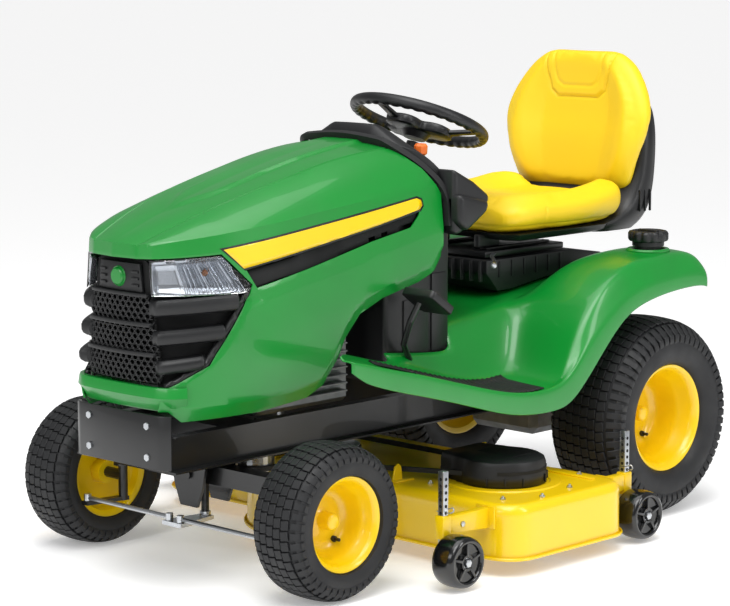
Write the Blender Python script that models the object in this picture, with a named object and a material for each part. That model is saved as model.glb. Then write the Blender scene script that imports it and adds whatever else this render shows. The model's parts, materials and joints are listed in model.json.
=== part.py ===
"""Riding lawn mower: a front-engined lawn tractor with a mid-mounted three-blade mower deck.

The tractor faces -Y, its left side is +X and the ground is Z = 0. Every shape below is given in tractor
coordinates, with X = 0 on the centreline and Y = 0 half-way between the axles. The empty called tractor
then moves the whole machine so that the centre of its footprint is the origin.
"""

import math

import bmesh
import bpy
from mathutils import Matrix, Vector

# ---- driving dimensions, metres ------------------------------------------------------------------
WHEELBASE = 1.25
FIT_GAP = 0.0005  # between pieces that touch
RUNNING_GAP = 0.0006  # between a shaft and its bore, on the radius

FRONT_TYRE_RADIUS = 0.188
FRONT_TYRE_WIDTH = 0.160
FRONT_RIM_RADIUS = 0.114
FRONT_HALF_TRACK = 0.423
REAR_TYRE_RADIUS = 0.267
REAR_TYRE_WIDTH = 0.240
REAR_RIM_RADIUS = 0.143
REAR_HALF_TRACK = 0.370

KINGPIN_X = 0.310
KINGPIN_RADIUS = 0.012
SPINDLE_RADIUS = 0.0095
AXLE_BEAM_Z = 0.245
STEERING_ARM = Vector((0.020, -0.100, 0.0))  # from kingpin, or sector pivot, to the rod's joint
STEERING_ARM_Z = 0.129

RAIL_X = 0.165
RAIL_WIDTH = 0.030
RAIL_BOTTOM = 0.300
RAIL_TOP = 0.390
FRAME_FRONT = -0.880
FRAME_REAR = 0.800

HOOD_FRONT = -0.912
HOOD_REAR = -0.030
HOOD_SKIN = 0.004
HOOD_HINGE = Vector((0.0, -0.880, 0.452))

COLUMN_TILT = math.radians(22.4)
STEERING_WHEEL_CENTRE = Vector((0.0, 0.147, 1.066))
STEERING_WHEEL_RADIUS = 0.174
STEERING_RIM_RADIUS = 0.0155

FENDER_HALF_WIDTH = 0.470
FENDER_SKIN = 0.005
FUEL_NECK = Vector((0.370, 0.655, 0.0))
FUEL_NECK_RADIUS = 0.036
FUEL_CAP_RADIUS = 0.055

SEAT_HALF_WIDTH = 0.255
SEAT_FRONT = 0.262
SEAT_PIVOT = Vector((0.0, 0.285, 0.738))

DECK_BOTTOM = 0.045
DECK_TOP = 0.180
DECK_SKIN = 0.003
BLADE_LENGTH = 0.435
BLADE_TIP_GAP = 0.012
SPINDLE_X = 0.402
SPINDLE_Y = 0.030
CENTRE_SPINDLE_Y = -0.165
SHAFT_RADIUS = 0.0125
PULLEY_GROOVE_RADIUS = 0.054
PULLEY_RADIUS = 0.062
BELT_THICKNESS = 0.010
BELT_WIDTH = 0.012
BELT_GAP = 0.0018  # the belt's flats stay clear of the round groove
DECK_BELT_Z = 0.205
PTO_BELT_Z = 0.236
PTO_Y = -0.462
DECK_LIFT = 0.075
GAUGE_RADIUS = 0.064
GAUGE_WIDTH = 0.070
GAUGE_X = 0.597
GAUGE_FRONT_Y = -0.355
GAUGE_REAR_Y = 0.340
GAUGE_CLEARANCE = 0.008  # the gauge wheels hang just clear of level ground

FRONT_AXLE_Y = -WHEELBASE / 2
REAR_AXLE_Y = WHEELBASE / 2
WHEEL_STEPS = 28


# ---- materials -----------------------------------------------------------------------------------
def material(name, colour, roughness, metallic=0.0):
    made = bpy.data.materials.new(name)
    made.use_nodes = True
    shader = made.node_tree.nodes["Principled BSDF"]
    shader.inputs["Base Color"].default_value = (*colour, 1.0)
    shader.inputs["Roughness"].default_value = roughness
    shader.inputs["Metallic"].default_value = metallic
    return made


def make_materials():
    return {
        "green": material("green_enamel", (0.01, 0.30, 0.06), 0.25),
        "yellow": material("yellow_enamel", (0.87, 0.65, 0.01), 0.30),
        "seat": material("yellow_vinyl", (0.90, 0.70, 0.04), 0.45),
        "black": material("black_plastic", (0.02, 0.02, 0.022), 0.50),
        "frame": material("black_enamel", (0.015, 0.015, 0.016), 0.35),
        "rubber": material("tyre_rubber", (0.025, 0.025, 0.028), 0.85),
        "steel": material("zinc_plated_steel", (0.60, 0.60, 0.60), 0.35, 1.0),
        "cast": material("cast_aluminium", (0.45, 0.45, 0.46), 0.50, 0.9),
        "lens": material("clear_lens", (0.85, 0.88, 0.90), 0.10),
        "orange": material("orange_plastic", (0.90, 0.33, 0.06), 0.45),
    }


# ---- shape helpers: each returns a bmesh in tractor coordinates ------------------------------------
def bmesh_of(rows, closed_rings, capped):
    """Joins rows of points into a skin. Closed rings with caps make a solid, open rows make a sheet."""
    bm = bmesh.new()
    rings = [[bm.verts.new(point) for point in row] for row in rows]
    count = len(rings[0])
    last = count if closed_rings else count - 1
    for first, second in zip(rings, rings[1:]):
        for i in range(last):
            j = (i + 1) % count
            bm.faces.new((first[i], first[j], second[j], second[i]))
    if capped:
        bm.faces.new(rings[0])
        bm.faces.new(rings[-1])
    bmesh.ops.recalc_face_normals(bm, faces=bm.faces)
    return bm


def loft(rings):
    return bmesh_of(rings, closed_rings=True, capped=True)


def sheet(rows):
    return bmesh_of(rows, closed_rings=False, capped=False)


def prism(outline, axis, start, end):
    """Extrudes an outline along an axis. Its two coordinates are the other two axes, in X, Y, Z order."""
    k = "XYZ".index(axis)

    def at(point, along):
        values = list(point)
        values.insert(k, along)
        return Vector(values)

    return loft([[at(p, start) for p in outline], [at(p, end) for p in outline]])


def block(corner, opposite, bevel=0.0, segments=1):
    low = Vector(min(pair) for pair in zip(corner, opposite))
    high = Vector(max(pair) for pair in zip(corner, opposite))
    bm = bmesh.new()
    size = high - low
    bmesh.ops.create_cube(bm, size=1.0, matrix=Matrix.Translation((low + high) / 2) @ Matrix.Diagonal((*size, 1.0)))
    if bevel:
        bmesh.ops.bevel(bm, geom=bm.edges[:], offset=bevel, segments=segments, affect="EDGES", profile=0.5)
    return bm


def axis_frame(axis):
    """A rotation that takes +Z to the given direction."""
    return Vector((0, 0, 1)).rotation_difference(Vector(axis)).to_matrix().to_4x4()


def rod(start, end, radius, sides=12):
    start, end = Vector(start), Vector(end)
    bm = bmesh.new()
    bmesh.ops.create_cone(
        bm, cap_ends=True, segments=sides, radius1=radius, radius2=radius, depth=(end - start).length,
        matrix=Matrix.Translation((start + end) / 2) @ axis_frame(end - start),
    )
    return bm


def turned(profile, centre, axis, steps=WHEEL_STEPS, closed=True, phase=0.0):
    """Spins (radius, along) points about an axis. An open profile starts and ends on the axis."""
    bm = bmesh.new()
    verts = [bm.verts.new((r, 0.0, a)) for r, a in profile]
    pairs = list(zip(verts, verts[1:])) + ([(verts[-1], verts[0])] if closed else [])
    edges = [bm.edges.new(pair) for pair in pairs]
    bmesh.ops.spin(bm, geom=verts + edges, cent=(0, 0, 0), axis=(0, 0, 1), angle=2 * math.pi, steps=steps, use_merge=True)
    bmesh.ops.remove_doubles(bm, verts=bm.verts, dist=1e-6)
    place = Matrix.Translation(centre) @ axis_frame(axis) @ Matrix.Rotation(phase, 4, "Z")
    bmesh.ops.transform(bm, matrix=place, verts=bm.verts)
    bmesh.ops.recalc_face_normals(bm, faces=bm.faces)
    return bm


def swept(points, radius, sides=8):
    """A round bar bent through the points."""
    points = [Vector(p) for p in points]
    rings = []
    for i, point in enumerate(points):
        before, after = points[max(i - 1, 0)], points[min(i + 1, len(points) - 1)]
        frame = axis_frame(after - before)
        ring = [frame @ Vector((radius * math.cos(t), radius * math.sin(t), 0)) for t in circle_angles(sides)]
        rings.append([point + offset for offset in ring])
    return loft(rings)


def circle_angles(count):
    return [2 * math.pi * i / count for i in range(count)]


def arc(centre, radius, start_deg, end_deg, count):
    """Points on an arc, ends included, as (u, v) pairs."""
    step = (end_deg - start_deg) / (count - 1)
    angles = [math.radians(start_deg + step * i) for i in range(count)]
    return [(centre[0] + radius * math.cos(t), centre[1] + radius * math.sin(t)) for t in angles]


def mirrored(outline):
    """Completes a half outline that runs from the centreline round the +X side and back to it."""
    return outline + [(-x, y) for x, y in reversed(outline) if abs(x) > 1e-9]


def flip_x(point, side):
    return Vector((point[0] * side, point[1], point[2]))


# ---- object helpers --------------------------------------------------------------------------------
def world_origin(obj):
    total = Vector((0, 0, 0))
    while obj is not None:
        total += obj.location
        obj = obj.parent
    return total


def add(name, bm, look, parent, origin=(0, 0, 0), smooth=True):
    """Makes an object whose origin is at the given point in tractor coordinates."""
    origin = Vector(origin)
    bmesh.ops.translate(bm, vec=-origin, verts=bm.verts)
    mesh = bpy.data.meshes.new(name)
    bm.to_mesh(mesh)
    bm.free()
    if smooth:
        mesh.shade_smooth()
        mesh.set_sharp_from_angle(angle=math.radians(35))
    obj = bpy.data.objects.new(name, mesh)
    bpy.context.scene.collection.objects.link(obj)
    obj.parent = parent
    obj.location = origin - world_origin(parent)
    if look is not None:
        mesh.materials.append(look)
    return obj


def helper(name, bm, parent):
    """A shape that only cuts or joins: it stays out of renders."""
    obj = add(name, bm, None, parent, smooth=False)
    obj.hide_render = True
    obj.display_type = "WIRE"
    return obj


def boolean(target, operation, bm):
    """Adds a Boolean modifier with a helper made from bm, in tractor coordinates."""
    number = len(target.modifiers)
    root = bpy.data.objects["tractor"]
    tool = helper(f"{target.name}_{operation.lower()}_{number}", bm, root)
    modifier = target.modifiers.new(f"{operation.lower()}_{number}", "BOOLEAN")
    modifier.operation = operation
    modifier.solver = "EXACT"
    modifier.object = tool


def join(target, *shapes):
    for bm in shapes:
        boolean(target, "UNION", bm)


def cut(target, *shapes):
    for bm in shapes:
        boolean(target, "DIFFERENCE", bm)


def keep_inside(target, bm):
    boolean(target, "INTERSECT", bm)


def thicken(target, thickness):
    """Gives a sheet its wall, inwards from the outer face."""
    modifier = target.modifiers.new("wall", "SOLIDIFY")
    modifier.thickness = thickness
    modifier.offset = -1.0
    modifier.use_even_offset = True
    modifier.thickness_clamp = 0.0


# ---- wheels ----------------------------------------------------------------------------------------
def tyre_profile(radius, width, rim_radius, bead_radius, bead_half_width):
    """Closed outline of a low-pressure turf tyre, as (radius, along axle) points."""
    half = width / 2
    side = [
        (bead_radius, bead_half_width),
        (rim_radius + 0.0015, bead_half_width),
        (bead_radius + 0.22 * (radius - bead_radius), half * 0.90),
        (bead_radius + 0.48 * (radius - bead_radius), half),
        (radius - 0.16 * (radius - bead_radius), half * 0.95),
        (radius - 0.03 * (radius - bead_radius), half * 0.74),
    ]
    crown = [(radius, 0.0)]
    return side + crown + [(r, -a) for r, a in reversed(side)]


def rim_profile(rim_radius, half_width, disc_at, hub_radius, hub_in, hub_out, bore):
    """Outline of a pressed steel rim with a blind hub, from the axis and back to it."""
    barrel = rim_radius - 0.011
    wall = 0.004
    return [
        (0.0, hub_out - 0.006),
        (bore, hub_out - 0.006),
        (bore, hub_in),
        (hub_radius, hub_in),
        (hub_radius, disc_at - wall),
        (barrel - wall, disc_at - wall),
        (barrel - wall, -half_width + wall),
        (rim_radius, -half_width),
        (rim_radius, -half_width + wall),
        (barrel, -half_width + 2 * wall),
        (barrel, half_width - 2 * wall),
        (rim_radius, half_width - wall),
        (rim_radius, half_width),
        (barrel - wall, half_width - wall),
        (barrel - wall, disc_at),
        (hub_radius, disc_at),
        (hub_radius * 0.75, hub_out),
        (0.0, hub_out),
    ]


def wheel(kind, side_name, side, centre, tyre_radius, tyre_width, rim_radius, hub_in, hub_out, bore, parent, looks):
    """A tyre and its rim, turning about the axle line through centre. side is +1 on the left."""
    axis = Vector((side, 0, 0))
    rim_half = tyre_width * 0.40
    bead = rim_radius - 0.011 + FIT_GAP
    half_step = math.pi / WHEEL_STEPS  # a flat, not a corner, of the tread stands on the ground
    profile = tyre_profile(tyre_radius / math.cos(half_step), tyre_width, rim_radius, bead, rim_half - 0.0085)
    tyre = turned(profile, centre, axis, phase=half_step)
    rim = turned(
        rim_profile(rim_radius, rim_half, -0.15 * tyre_width, 0.030, hub_in, hub_out, bore),
        centre, axis, closed=False, phase=half_step,
    )
    rim_object = add(f"{kind}_rim_{side_name}", rim, looks["yellow"], parent, origin=centre)
    add(f"{kind}_tyre_{side_name}", tyre, looks["rubber"], rim_object, origin=centre)


# ---- chassis ---------------------------------------------------------------------------------------
def channel_outline(side):
    """A C-shaped pressed rail, open towards the outside, in X and Z."""
    web = RAIL_X - RAIL_WIDTH / 2
    lip = RAIL_X + RAIL_WIDTH / 2
    wall = 0.004
    points = [
        (web, RAIL_BOTTOM), (lip, RAIL_BOTTOM), (lip, RAIL_BOTTOM + wall), (web + wall, RAIL_BOTTOM + wall),
        (web + wall, RAIL_TOP - wall), (lip, RAIL_TOP - wall), (lip, RAIL_TOP), (web, RAIL_TOP),
    ]
    return [(x * side, z) for x, z in points]


def build_frame(root, looks):
    for side, word in ((1, "left"), (-1, "right")):
        rail = prism(channel_outline(side), "Y", FRAME_FRONT, FRAME_REAR)
        add(f"frame_rail_{word}", rail, looks["frame"], root, smooth=False)

    inner = RAIL_X - RAIL_WIDTH / 2 - FIT_GAP
    hanger = block((-inner, FRONT_AXLE_Y - 0.06, RAIL_BOTTOM + 0.010), (inner, FRONT_AXLE_Y + 0.06, RAIL_TOP - 0.010))
    hanger = add("axle_hanger", hanger, looks["frame"], root, smooth=False)
    ear = [(-0.075, 0.330), (0.075, 0.330), (0.050, 0.215), (0.030, 0.165), (-0.030, 0.165), (-0.050, 0.215)]
    for y in (FRONT_AXLE_Y - 0.055, FRONT_AXLE_Y + 0.047):
        join(hanger, prism(ear, "Y", y, y + 0.008))
    pin_ends = [(0, FRONT_AXLE_Y - 0.062, AXLE_BEAM_Z), (0, FRONT_AXLE_Y + 0.062, AXLE_BEAM_Z)]
    join(hanger, rod(*pin_ends, KINGPIN_RADIUS, 16))

    bumper_edge = RAIL_X + RAIL_WIDTH / 2 - 0.012
    plan = [
        (-bumper_edge, FRAME_FRONT - FIT_GAP), (-bumper_edge, FRAME_FRONT - 0.014), (-0.100, HOOD_FRONT + 0.008),
        (0.100, HOOD_FRONT + 0.008), (bumper_edge, FRAME_FRONT - 0.014), (bumper_edge, FRAME_FRONT - FIT_GAP),
    ]
    bumper = add("front_bumper", prism(plan, "Z", 0.305, 0.382), looks["frame"], root, smooth=False)
    join(bumper, block((-0.163, FRAME_FRONT - 0.008, 0.380), (0.163, FRAME_FRONT - FIT_GAP, 0.440)))

    hitch = block((-inner, FRAME_REAR - 0.010, 0.285), (inner, FRAME_REAR - 0.002, RAIL_TOP))
    hitch = add("rear_hitch_plate", hitch, looks["frame"], root, smooth=False)
    join(hitch, block((-0.060, FRAME_REAR - 0.006, 0.285), (0.060, FRAME_REAR + 0.060, 0.293)))
    cut(hitch, rod((0, FRAME_REAR + 0.035, 0.27), (0, FRAME_REAR + 0.035, 0.31), 0.0095, 16))


def build_power(root, looks):
    """Engine, exhaust, clutch drum, transaxle and fuel tank: what drives the machine."""
    engine = block((-0.150, -0.600, RAIL_TOP + 0.004), (0.150, -0.270, 0.620), bevel=0.012)
    engine = add("engine_block", engine, looks["cast"], root)
    for side in (1, -1):  # the two cylinders of a V-twin, leaning forwards
        join(engine, rod((side * 0.060, -0.560, 0.520), (side * 0.125, -0.690, 0.600), 0.048, 12))
    shroud = [(0.0, 0.623), (0.150, 0.623), (0.150, 0.740), (0.120, 0.790), (0.070, 0.815), (0.0, 0.815)]
    add("engine_shroud", turned(shroud, (0, -0.435, 0), (0, 0, 1), steps=24, closed=False), looks["black"], root)
    add("muffler", rod((-0.130, -0.765, 0.475), (0.130, -0.765, 0.475), 0.045, 16), looks["steel"], root)

    drum = [
        (0.0, 0.208), (PULLEY_GROOVE_RADIUS, 0.208), (PULLEY_GROOVE_RADIUS, 0.336), (0.072, 0.340),
        (0.072, RAIL_TOP - 0.004), (0.0, RAIL_TOP - 0.004),
    ]
    centre = (0, PTO_Y, 0)
    add("pto_clutch", turned(drum, centre, (0, 0, 1), steps=24, closed=False), looks["steel"], root, origin=centre)

    transaxle = block((-0.120, 0.480, 0.190), (0.120, 0.750, 0.345), bevel=0.020)
    transaxle = add("transaxle", transaxle, looks["cast"], root)
    tube = REAR_HALF_TRACK - REAR_TYRE_WIDTH / 2 - 0.024
    join(transaxle, rod((-tube, REAR_AXLE_Y, REAR_TYRE_RADIUS), (tube, REAR_AXLE_Y, REAR_TYRE_RADIUS), 0.029, 16))
    stub = REAR_HALF_TRACK + 0.010
    join(transaxle, rod((-stub, REAR_AXLE_Y, REAR_TYRE_RADIUS), (stub, REAR_AXLE_Y, REAR_TYRE_RADIUS), SHAFT_RADIUS, 16))

    tank = add("fuel_tank", block((-0.180, 0.500, 0.400), (0.200, 0.770, 0.600), bevel=0.020), looks["black"], root)
    neck_foot = (0.150, FUEL_NECK.y, 0.560)
    neck_bend = (FUEL_NECK.x, FUEL_NECK.y, 0.630)
    neck_top = (FUEL_NECK.x, FUEL_NECK.y, 0.722)
    join(tank, rod(neck_foot, neck_bend, 0.024, 12))
    join(tank, rod((FUEL_NECK.x, FUEL_NECK.y, 0.610), neck_top, FUEL_NECK_RADIUS, 20))

    cap = [
        (0.0, 0.7225), (0.043, 0.7225), (0.043, 0.733), (FUEL_CAP_RADIUS, 0.738), (FUEL_CAP_RADIUS, 0.757),
        (0.046, 0.766), (0.0, 0.766),
    ]
    centre = (FUEL_NECK.x, FUEL_NECK.y, 0)
    add("fuel_cap", turned(cap, centre, (0, 0, 1), steps=20, closed=False), looks["black"], root,
        origin=(FUEL_NECK.x, FUEL_NECK.y, 0.7225))


# ---- front axle and steering -------------------------------------------------------------------------
def build_front_axle(root, looks):
    pivot = (0, FRONT_AXLE_Y, AXLE_BEAM_Z)
    beam = block((-KINGPIN_X, FRONT_AXLE_Y - 0.024, 0.222), (KINGPIN_X, FRONT_AXLE_Y + 0.024, 0.268))
    beam = add("front_axle", beam, looks["frame"], root, origin=pivot, smooth=False)
    for side in (1, -1):
        x = side * KINGPIN_X
        join(beam, rod((x, FRONT_AXLE_Y, 0.215), (x, FRONT_AXLE_Y, 0.275), 0.0238, 16))
    join(beam, rod((0, FRONT_AXLE_Y, 0.145), (0, FRONT_AXLE_Y, 0.230), 0.010, 12))  # carries the steering sector
    for side in (1, -1):
        x = side * KINGPIN_X
        cut(beam, rod((x, FRONT_AXLE_Y, 0.20), (x, FRONT_AXLE_Y, 0.29), KINGPIN_RADIUS + RUNNING_GAP, 16))
    cut(beam, rod((0, FRONT_AXLE_Y - 0.05, AXLE_BEAM_Z), (0, FRONT_AXLE_Y + 0.05, AXLE_BEAM_Z),
                  KINGPIN_RADIUS + RUNNING_GAP, 16))

    arm_low, arm_high = STEERING_ARM_Z - 0.005, STEERING_ARM_Z + 0.005
    sector_pivot = Vector((0, FRONT_AXLE_Y, STEERING_ARM_Z))
    reach = STEERING_ARM.x + 0.014
    tip = FRONT_AXLE_Y + STEERING_ARM.y
    plate = [
        (-reach, tip - 0.012), (reach, tip - 0.012), (reach, tip + 0.012), (0.018, FRONT_AXLE_Y + 0.012),
        (-0.018, FRONT_AXLE_Y + 0.012), (-reach, tip + 0.012),
    ]
    sector = add("steering_sector", prism(plate, "Z", arm_low, arm_high), looks["steel"], beam, origin=sector_pivot)
    hub_top = 0.145 - FIT_GAP
    join(sector, rod((0, FRONT_AXLE_Y, arm_low + 0.002), (0, FRONT_AXLE_Y, hub_top), 0.014, 12))

    wheel_z = FRONT_TYRE_RADIUS
    rod_z = arm_high + 0.008
    for side, word in ((1, "left"), (-1, "right")):
        x = side * KINGPIN_X
        kingpin = rod((x, FRONT_AXLE_Y, arm_low), (x, FRONT_AXLE_Y, 0.285), KINGPIN_RADIUS, 16)
        knuckle = add(f"knuckle_{word}", kingpin, looks["frame"], beam, origin=(x, FRONT_AXLE_Y, wheel_z))
        hub_face = FRONT_HALF_TRACK - 0.015
        join(knuckle, rod((x, FRONT_AXLE_Y, wheel_z), (side * hub_face, FRONT_AXLE_Y, wheel_z), 0.014, 12))
        spindle_end = side * (FRONT_HALF_TRACK + 0.018)
        join(knuckle, rod((x, FRONT_AXLE_Y, wheel_z), (spindle_end, FRONT_AXLE_Y, wheel_z), SPINDLE_RADIUS, 16))
        joint = Vector((x, FRONT_AXLE_Y, 0)) + flip_x(STEERING_ARM, side)
        half = 0.011
        arm_plan = [
            (x - half, FRONT_AXLE_Y + half), (joint.x - half, joint.y - half),
            (joint.x + half, joint.y - half), (x + half, FRONT_AXLE_Y + half),
        ]
        join(knuckle, prism(arm_plan, "Z", arm_low, arm_high))

        inner = Vector((0, FRONT_AXLE_Y, rod_z)) + flip_x(STEERING_ARM, side)
        outer = Vector((joint.x, joint.y, rod_z))
        tie = add(f"tie_rod_{word}", rod(inner, outer, 0.0060, 10), looks["steel"], sector, origin=inner)
        for end in (inner, outer):
            low, high = end - Vector((0, 0, 0.0075)), end + Vector((0, 0, 0.010))
            join(tie, rod(low, high, 0.0095, 12))

        centre = Vector((side * FRONT_HALF_TRACK, FRONT_AXLE_Y, wheel_z))
        wheel("front", word, side, centre, FRONT_TYRE_RADIUS, FRONT_TYRE_WIDTH, FRONT_RIM_RADIUS,
              -0.014, 0.030, SPINDLE_RADIUS + RUNNING_GAP, knuckle, looks)


def build_rear_wheels(root, looks):
    for side, word in ((1, "left"), (-1, "right")):
        centre = Vector((side * REAR_HALF_TRACK, REAR_AXLE_Y, REAR_TYRE_RADIUS))
        wheel("rear", word, side, centre, REAR_TYRE_RADIUS, REAR_TYRE_WIDTH, REAR_RIM_RADIUS,
              -REAR_TYRE_WIDTH / 2 - 0.010, 0.025, SHAFT_RADIUS + RUNNING_GAP, root, looks)


# ---- hood ----------------------------------------------------------------------------------------------
# Each station: Y, then (x, z) of the ridge, crown edge, shoulder, side crease, flank and lower edge.
HOOD_STATIONS = [
    (-0.912, (0.836, 0.000), (0.066, 0.826), (0.092, 0.800), (0.112, 0.700), (0.130, 0.560), (0.140, 0.466)),
    (-0.880, (0.850, 0.000), (0.082, 0.840), (0.135, 0.808), (0.152, 0.700), (0.168, 0.560), (0.172, 0.452)),
    (-0.820, (0.873, 0.000), (0.098, 0.863), (0.172, 0.822), (0.190, 0.700), (0.200, 0.555), (0.196, 0.428)),
    (-0.720, (0.906, 0.000), (0.115, 0.896), (0.204, 0.845), (0.222, 0.700), (0.232, 0.550), (0.222, 0.404)),
    (-0.600, (0.940, 0.000), (0.128, 0.930), (0.220, 0.872), (0.240, 0.712), (0.250, 0.550), (0.238, 0.408)),
    (-0.450, (0.978, 0.000), (0.138, 0.967), (0.228, 0.902), (0.250, 0.738), (0.258, 0.600), (0.246, 0.420)),
    (-0.300, (1.010, 0.000), (0.146, 1.000), (0.232, 0.930), (0.254, 0.768), (0.260, 0.620), (0.250, 0.440)),
    (-0.160, (1.034, 0.000), (0.150, 1.022), (0.232, 0.948), (0.252, 0.796), (0.258, 0.660), (0.248, 0.460)),
    (-0.030, (1.046, 0.000), (0.150, 1.034), (0.228, 0.955), (0.246, 0.815), (0.250, 0.700), (0.240, 0.480)),
]


def hood_row(station, inset=0.0):
    """Points across the hood at one station, left lower edge over the top to the right lower edge."""
    y, (top, _), *rest = station
    half = [(x - inset, z - inset * 0.5) for x, z in reversed(rest)]
    left = [Vector((x, y, z)) for x, z in half]
    ridge = Vector((0, y, top - inset))
    return left + [ridge] + [Vector((-p.x, p.y, p.z)) for p in reversed(left)]


def hood_skin(inset=0.0):
    """The open shell of the hood with its flat front face."""
    stations = [(s[0] + (inset if i == 0 else 0.0), *s[1:]) for i, s in enumerate(HOOD_STATIONS)]
    bm = sheet([hood_row(s, inset) for s in stations])
    bm.verts.ensure_lookup_table()
    bm.faces.new([bm.verts[i] for i in range(2 * (len(HOOD_STATIONS[0]) - 1) - 1)])
    bmesh.ops.recalc_face_normals(bm, faces=bm.faces)
    if sum(face.normal.z for face in bm.faces) < 0:
        bmesh.ops.reverse_faces(bm, faces=bm.faces)
    return bm


GRILLE_SIDE = [(-1.0, 0.500), (-0.880, 0.502), (-0.790, 0.552), (-0.690, 0.700), (-0.682, 0.714), (-1.0, 0.714)]
LIGHT_SIDE = [(-1.0, 0.714), (-0.682, 0.714), (-0.676, 0.735), (-0.752, 0.812), (-1.0, 0.799)]
LIGHT_INNER_X = 0.096
HOOD_REAR_EDGE = [(0.30, 0.40), (-0.320, 0.40), (-0.440, 0.440), (-0.400, 0.540), (-0.370, 0.590), (-0.310, 0.640),
                  (-0.090, 0.690), (HOOD_REAR - 0.008, 0.740), (HOOD_REAR, 0.905), (-0.072, 0.968), (-0.140, 1.030),
                  (-0.140, 1.20), (0.30, 1.20)]


def shrunk(outline, by):
    """Moves each point of an outline towards its middle, leaving a gap all round."""
    middle = Vector((sum(p[0] for p in outline), sum(p[1] for p in outline))) / len(outline)
    return [tuple(Vector(p) + (middle - Vector(p)).normalized() * by) for p in outline]


def build_hood(root, looks):
    hood = add("hood_shell", hood_skin(), looks["green"], root, origin=HOOD_HINGE)
    thicken(hood, HOOD_SKIN)
    opening = [*GRILLE_SIDE[:5], *LIGHT_SIDE[2:]]
    cut(hood, prism(opening, "X", -0.4, 0.4))
    cut(hood, prism(HOOD_REAR_EDGE, "X", -0.4, 0.4))

    wall = 0.016
    grille = add("front_grille", hood_skin(), looks["black"], hood, origin=HOOD_HINGE)
    thicken(grille, wall)
    keep_inside(grille, prism(shrunk([*GRILLE_SIDE[:5], *LIGHT_SIDE[2:]], 0.0015), "X", -0.4, 0.4))
    light_side = shrunk(LIGHT_SIDE, 0.0025)
    for side, word in ((1, "left"), (-1, "right")):
        ends = (side * LIGHT_INNER_X, side * 0.4)
        cut(grille, prism(LIGHT_SIDE, "X", *ends))
        lens = add(f"headlight_{word}", hood_skin(), looks["lens"], hood, origin=HOOD_HINGE)
        thicken(lens, 0.012)
        keep_inside(lens, prism(light_side, "X", side * (LIGHT_INNER_X + 0.001), side * 0.4))


# ---- console, column and hand controls --------------------------------------------------------------------
def build_console(root, looks):
    tower_half = 0.222
    tower = [(-0.215, 0.420), (0.010, 0.420), (0.030, 0.620), (0.012, 0.700), (0.012, 0.870), (-0.215, 0.870)]
    console = add("dash_console", prism(tower, "X", -tower_half, tower_half), looks["black"], root)
    cut(console, block((-tower_half + 0.004, -0.211, 0.30), (tower_half - 0.004, 0.004, 0.840)))
    # the dash stays outside the arc that the hood's rear edge sweeps about its hinge
    dash = [
        (-0.022, 0.830), (0.008, 0.800), (0.112, 0.862), (0.125, 0.893), (-0.010, 0.990), (-0.045, 1.022),
        (-0.062, 1.060), (-0.100, 1.075), (-0.128, 1.062), (-0.107, 1.034), (-0.066, 0.975), (-0.022, 0.908),
    ]
    join(console, prism(dash, "X", -tower_half, tower_half))
    across = [(0.0, 0.380), (0.300, 0.380), (0.300, 0.905), (0.222, 0.915), (0.145, 1.000), (0.088, 1.020), (0.078, 1.058),
              (0.050, 1.090), (0.0, 1.090)]
    keep_inside(console, prism(mirrored(across), "Y", -0.40, 0.40))
    axis = Vector((0, math.sin(COLUMN_TILT), math.cos(COLUMN_TILT)))
    low = STEERING_WHEEL_CENTRE - axis * 0.66
    high = STEERING_WHEEL_CENTRE - axis * 0.060
    cut(console, rod(low - axis * 0.05, high, 0.0185, 16))
    column = add("steering_column", rod(low, high, 0.0175, 16), looks["frame"], root)
    cut(column, rod(high - axis * 0.080, high + axis * 0.010, 0.0102, 16))

    build_steering_wheel(root, looks, axis, high)

    pivot = Vector((0.150, -0.015, 0.940))
    lever = add("throttle_lever", block((0.146, -0.010, 0.925), (0.154, 0.022, 0.985)), looks["orange"], root, origin=pivot)
    join(lever, block((0.128, 0.010, 0.975), (0.172, 0.034, 1.012), bevel=0.006))
    cut(console, block((0.142, -0.040, 0.915), (0.158, 0.030, 1.000)))

    outward = Vector((0, 0.584, 0.812))  # square to the sloping face of the dash
    knob_at = Vector((-0.150, 0.0575, 0.9415)) + outward * 0.0008
    knob = [(0.0, 0.0), (0.006, 0.0), (0.006, 0.020), (0.016, 0.024), (0.018, 0.040), (0.0, 0.044)]
    add("pto_knob", turned(knob, knob_at, outward, steps=16, closed=False), looks["yellow"], root, origin=knob_at)


def build_steering_wheel(root, looks, axis, column_top):
    centre = STEERING_WHEEL_CENTRE
    ring = [
        (STEERING_WHEEL_RADIUS + STEERING_RIM_RADIUS * math.cos(t), STEERING_RIM_RADIUS * math.sin(t))
        for t in circle_angles(8)
    ]
    rim = add("steering_wheel", turned(ring, centre, axis, steps=28), looks["black"], root, origin=centre)
    hub = [(0.0, -0.050), (0.040, -0.050), (0.052, -0.018), (0.040, -0.006), (0.0, -0.006)]
    join(rim, turned(hub, centre, axis, steps=16, closed=False))
    frame = axis_frame(axis)
    for angle in (math.radians(-90), math.radians(20), math.radians(160)):
        out = frame @ Vector((math.cos(angle), math.sin(angle), 0))
        join(rim, swept([centre - axis * 0.030 + out * 0.020, centre - axis * 0.024 + out * 0.100,
                         centre + out * (STEERING_WHEEL_RADIUS - 0.004)], 0.0100, 8))
    join(rim, rod(column_top - axis * 0.050, centre - axis * 0.030, 0.0095, 16))


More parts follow.
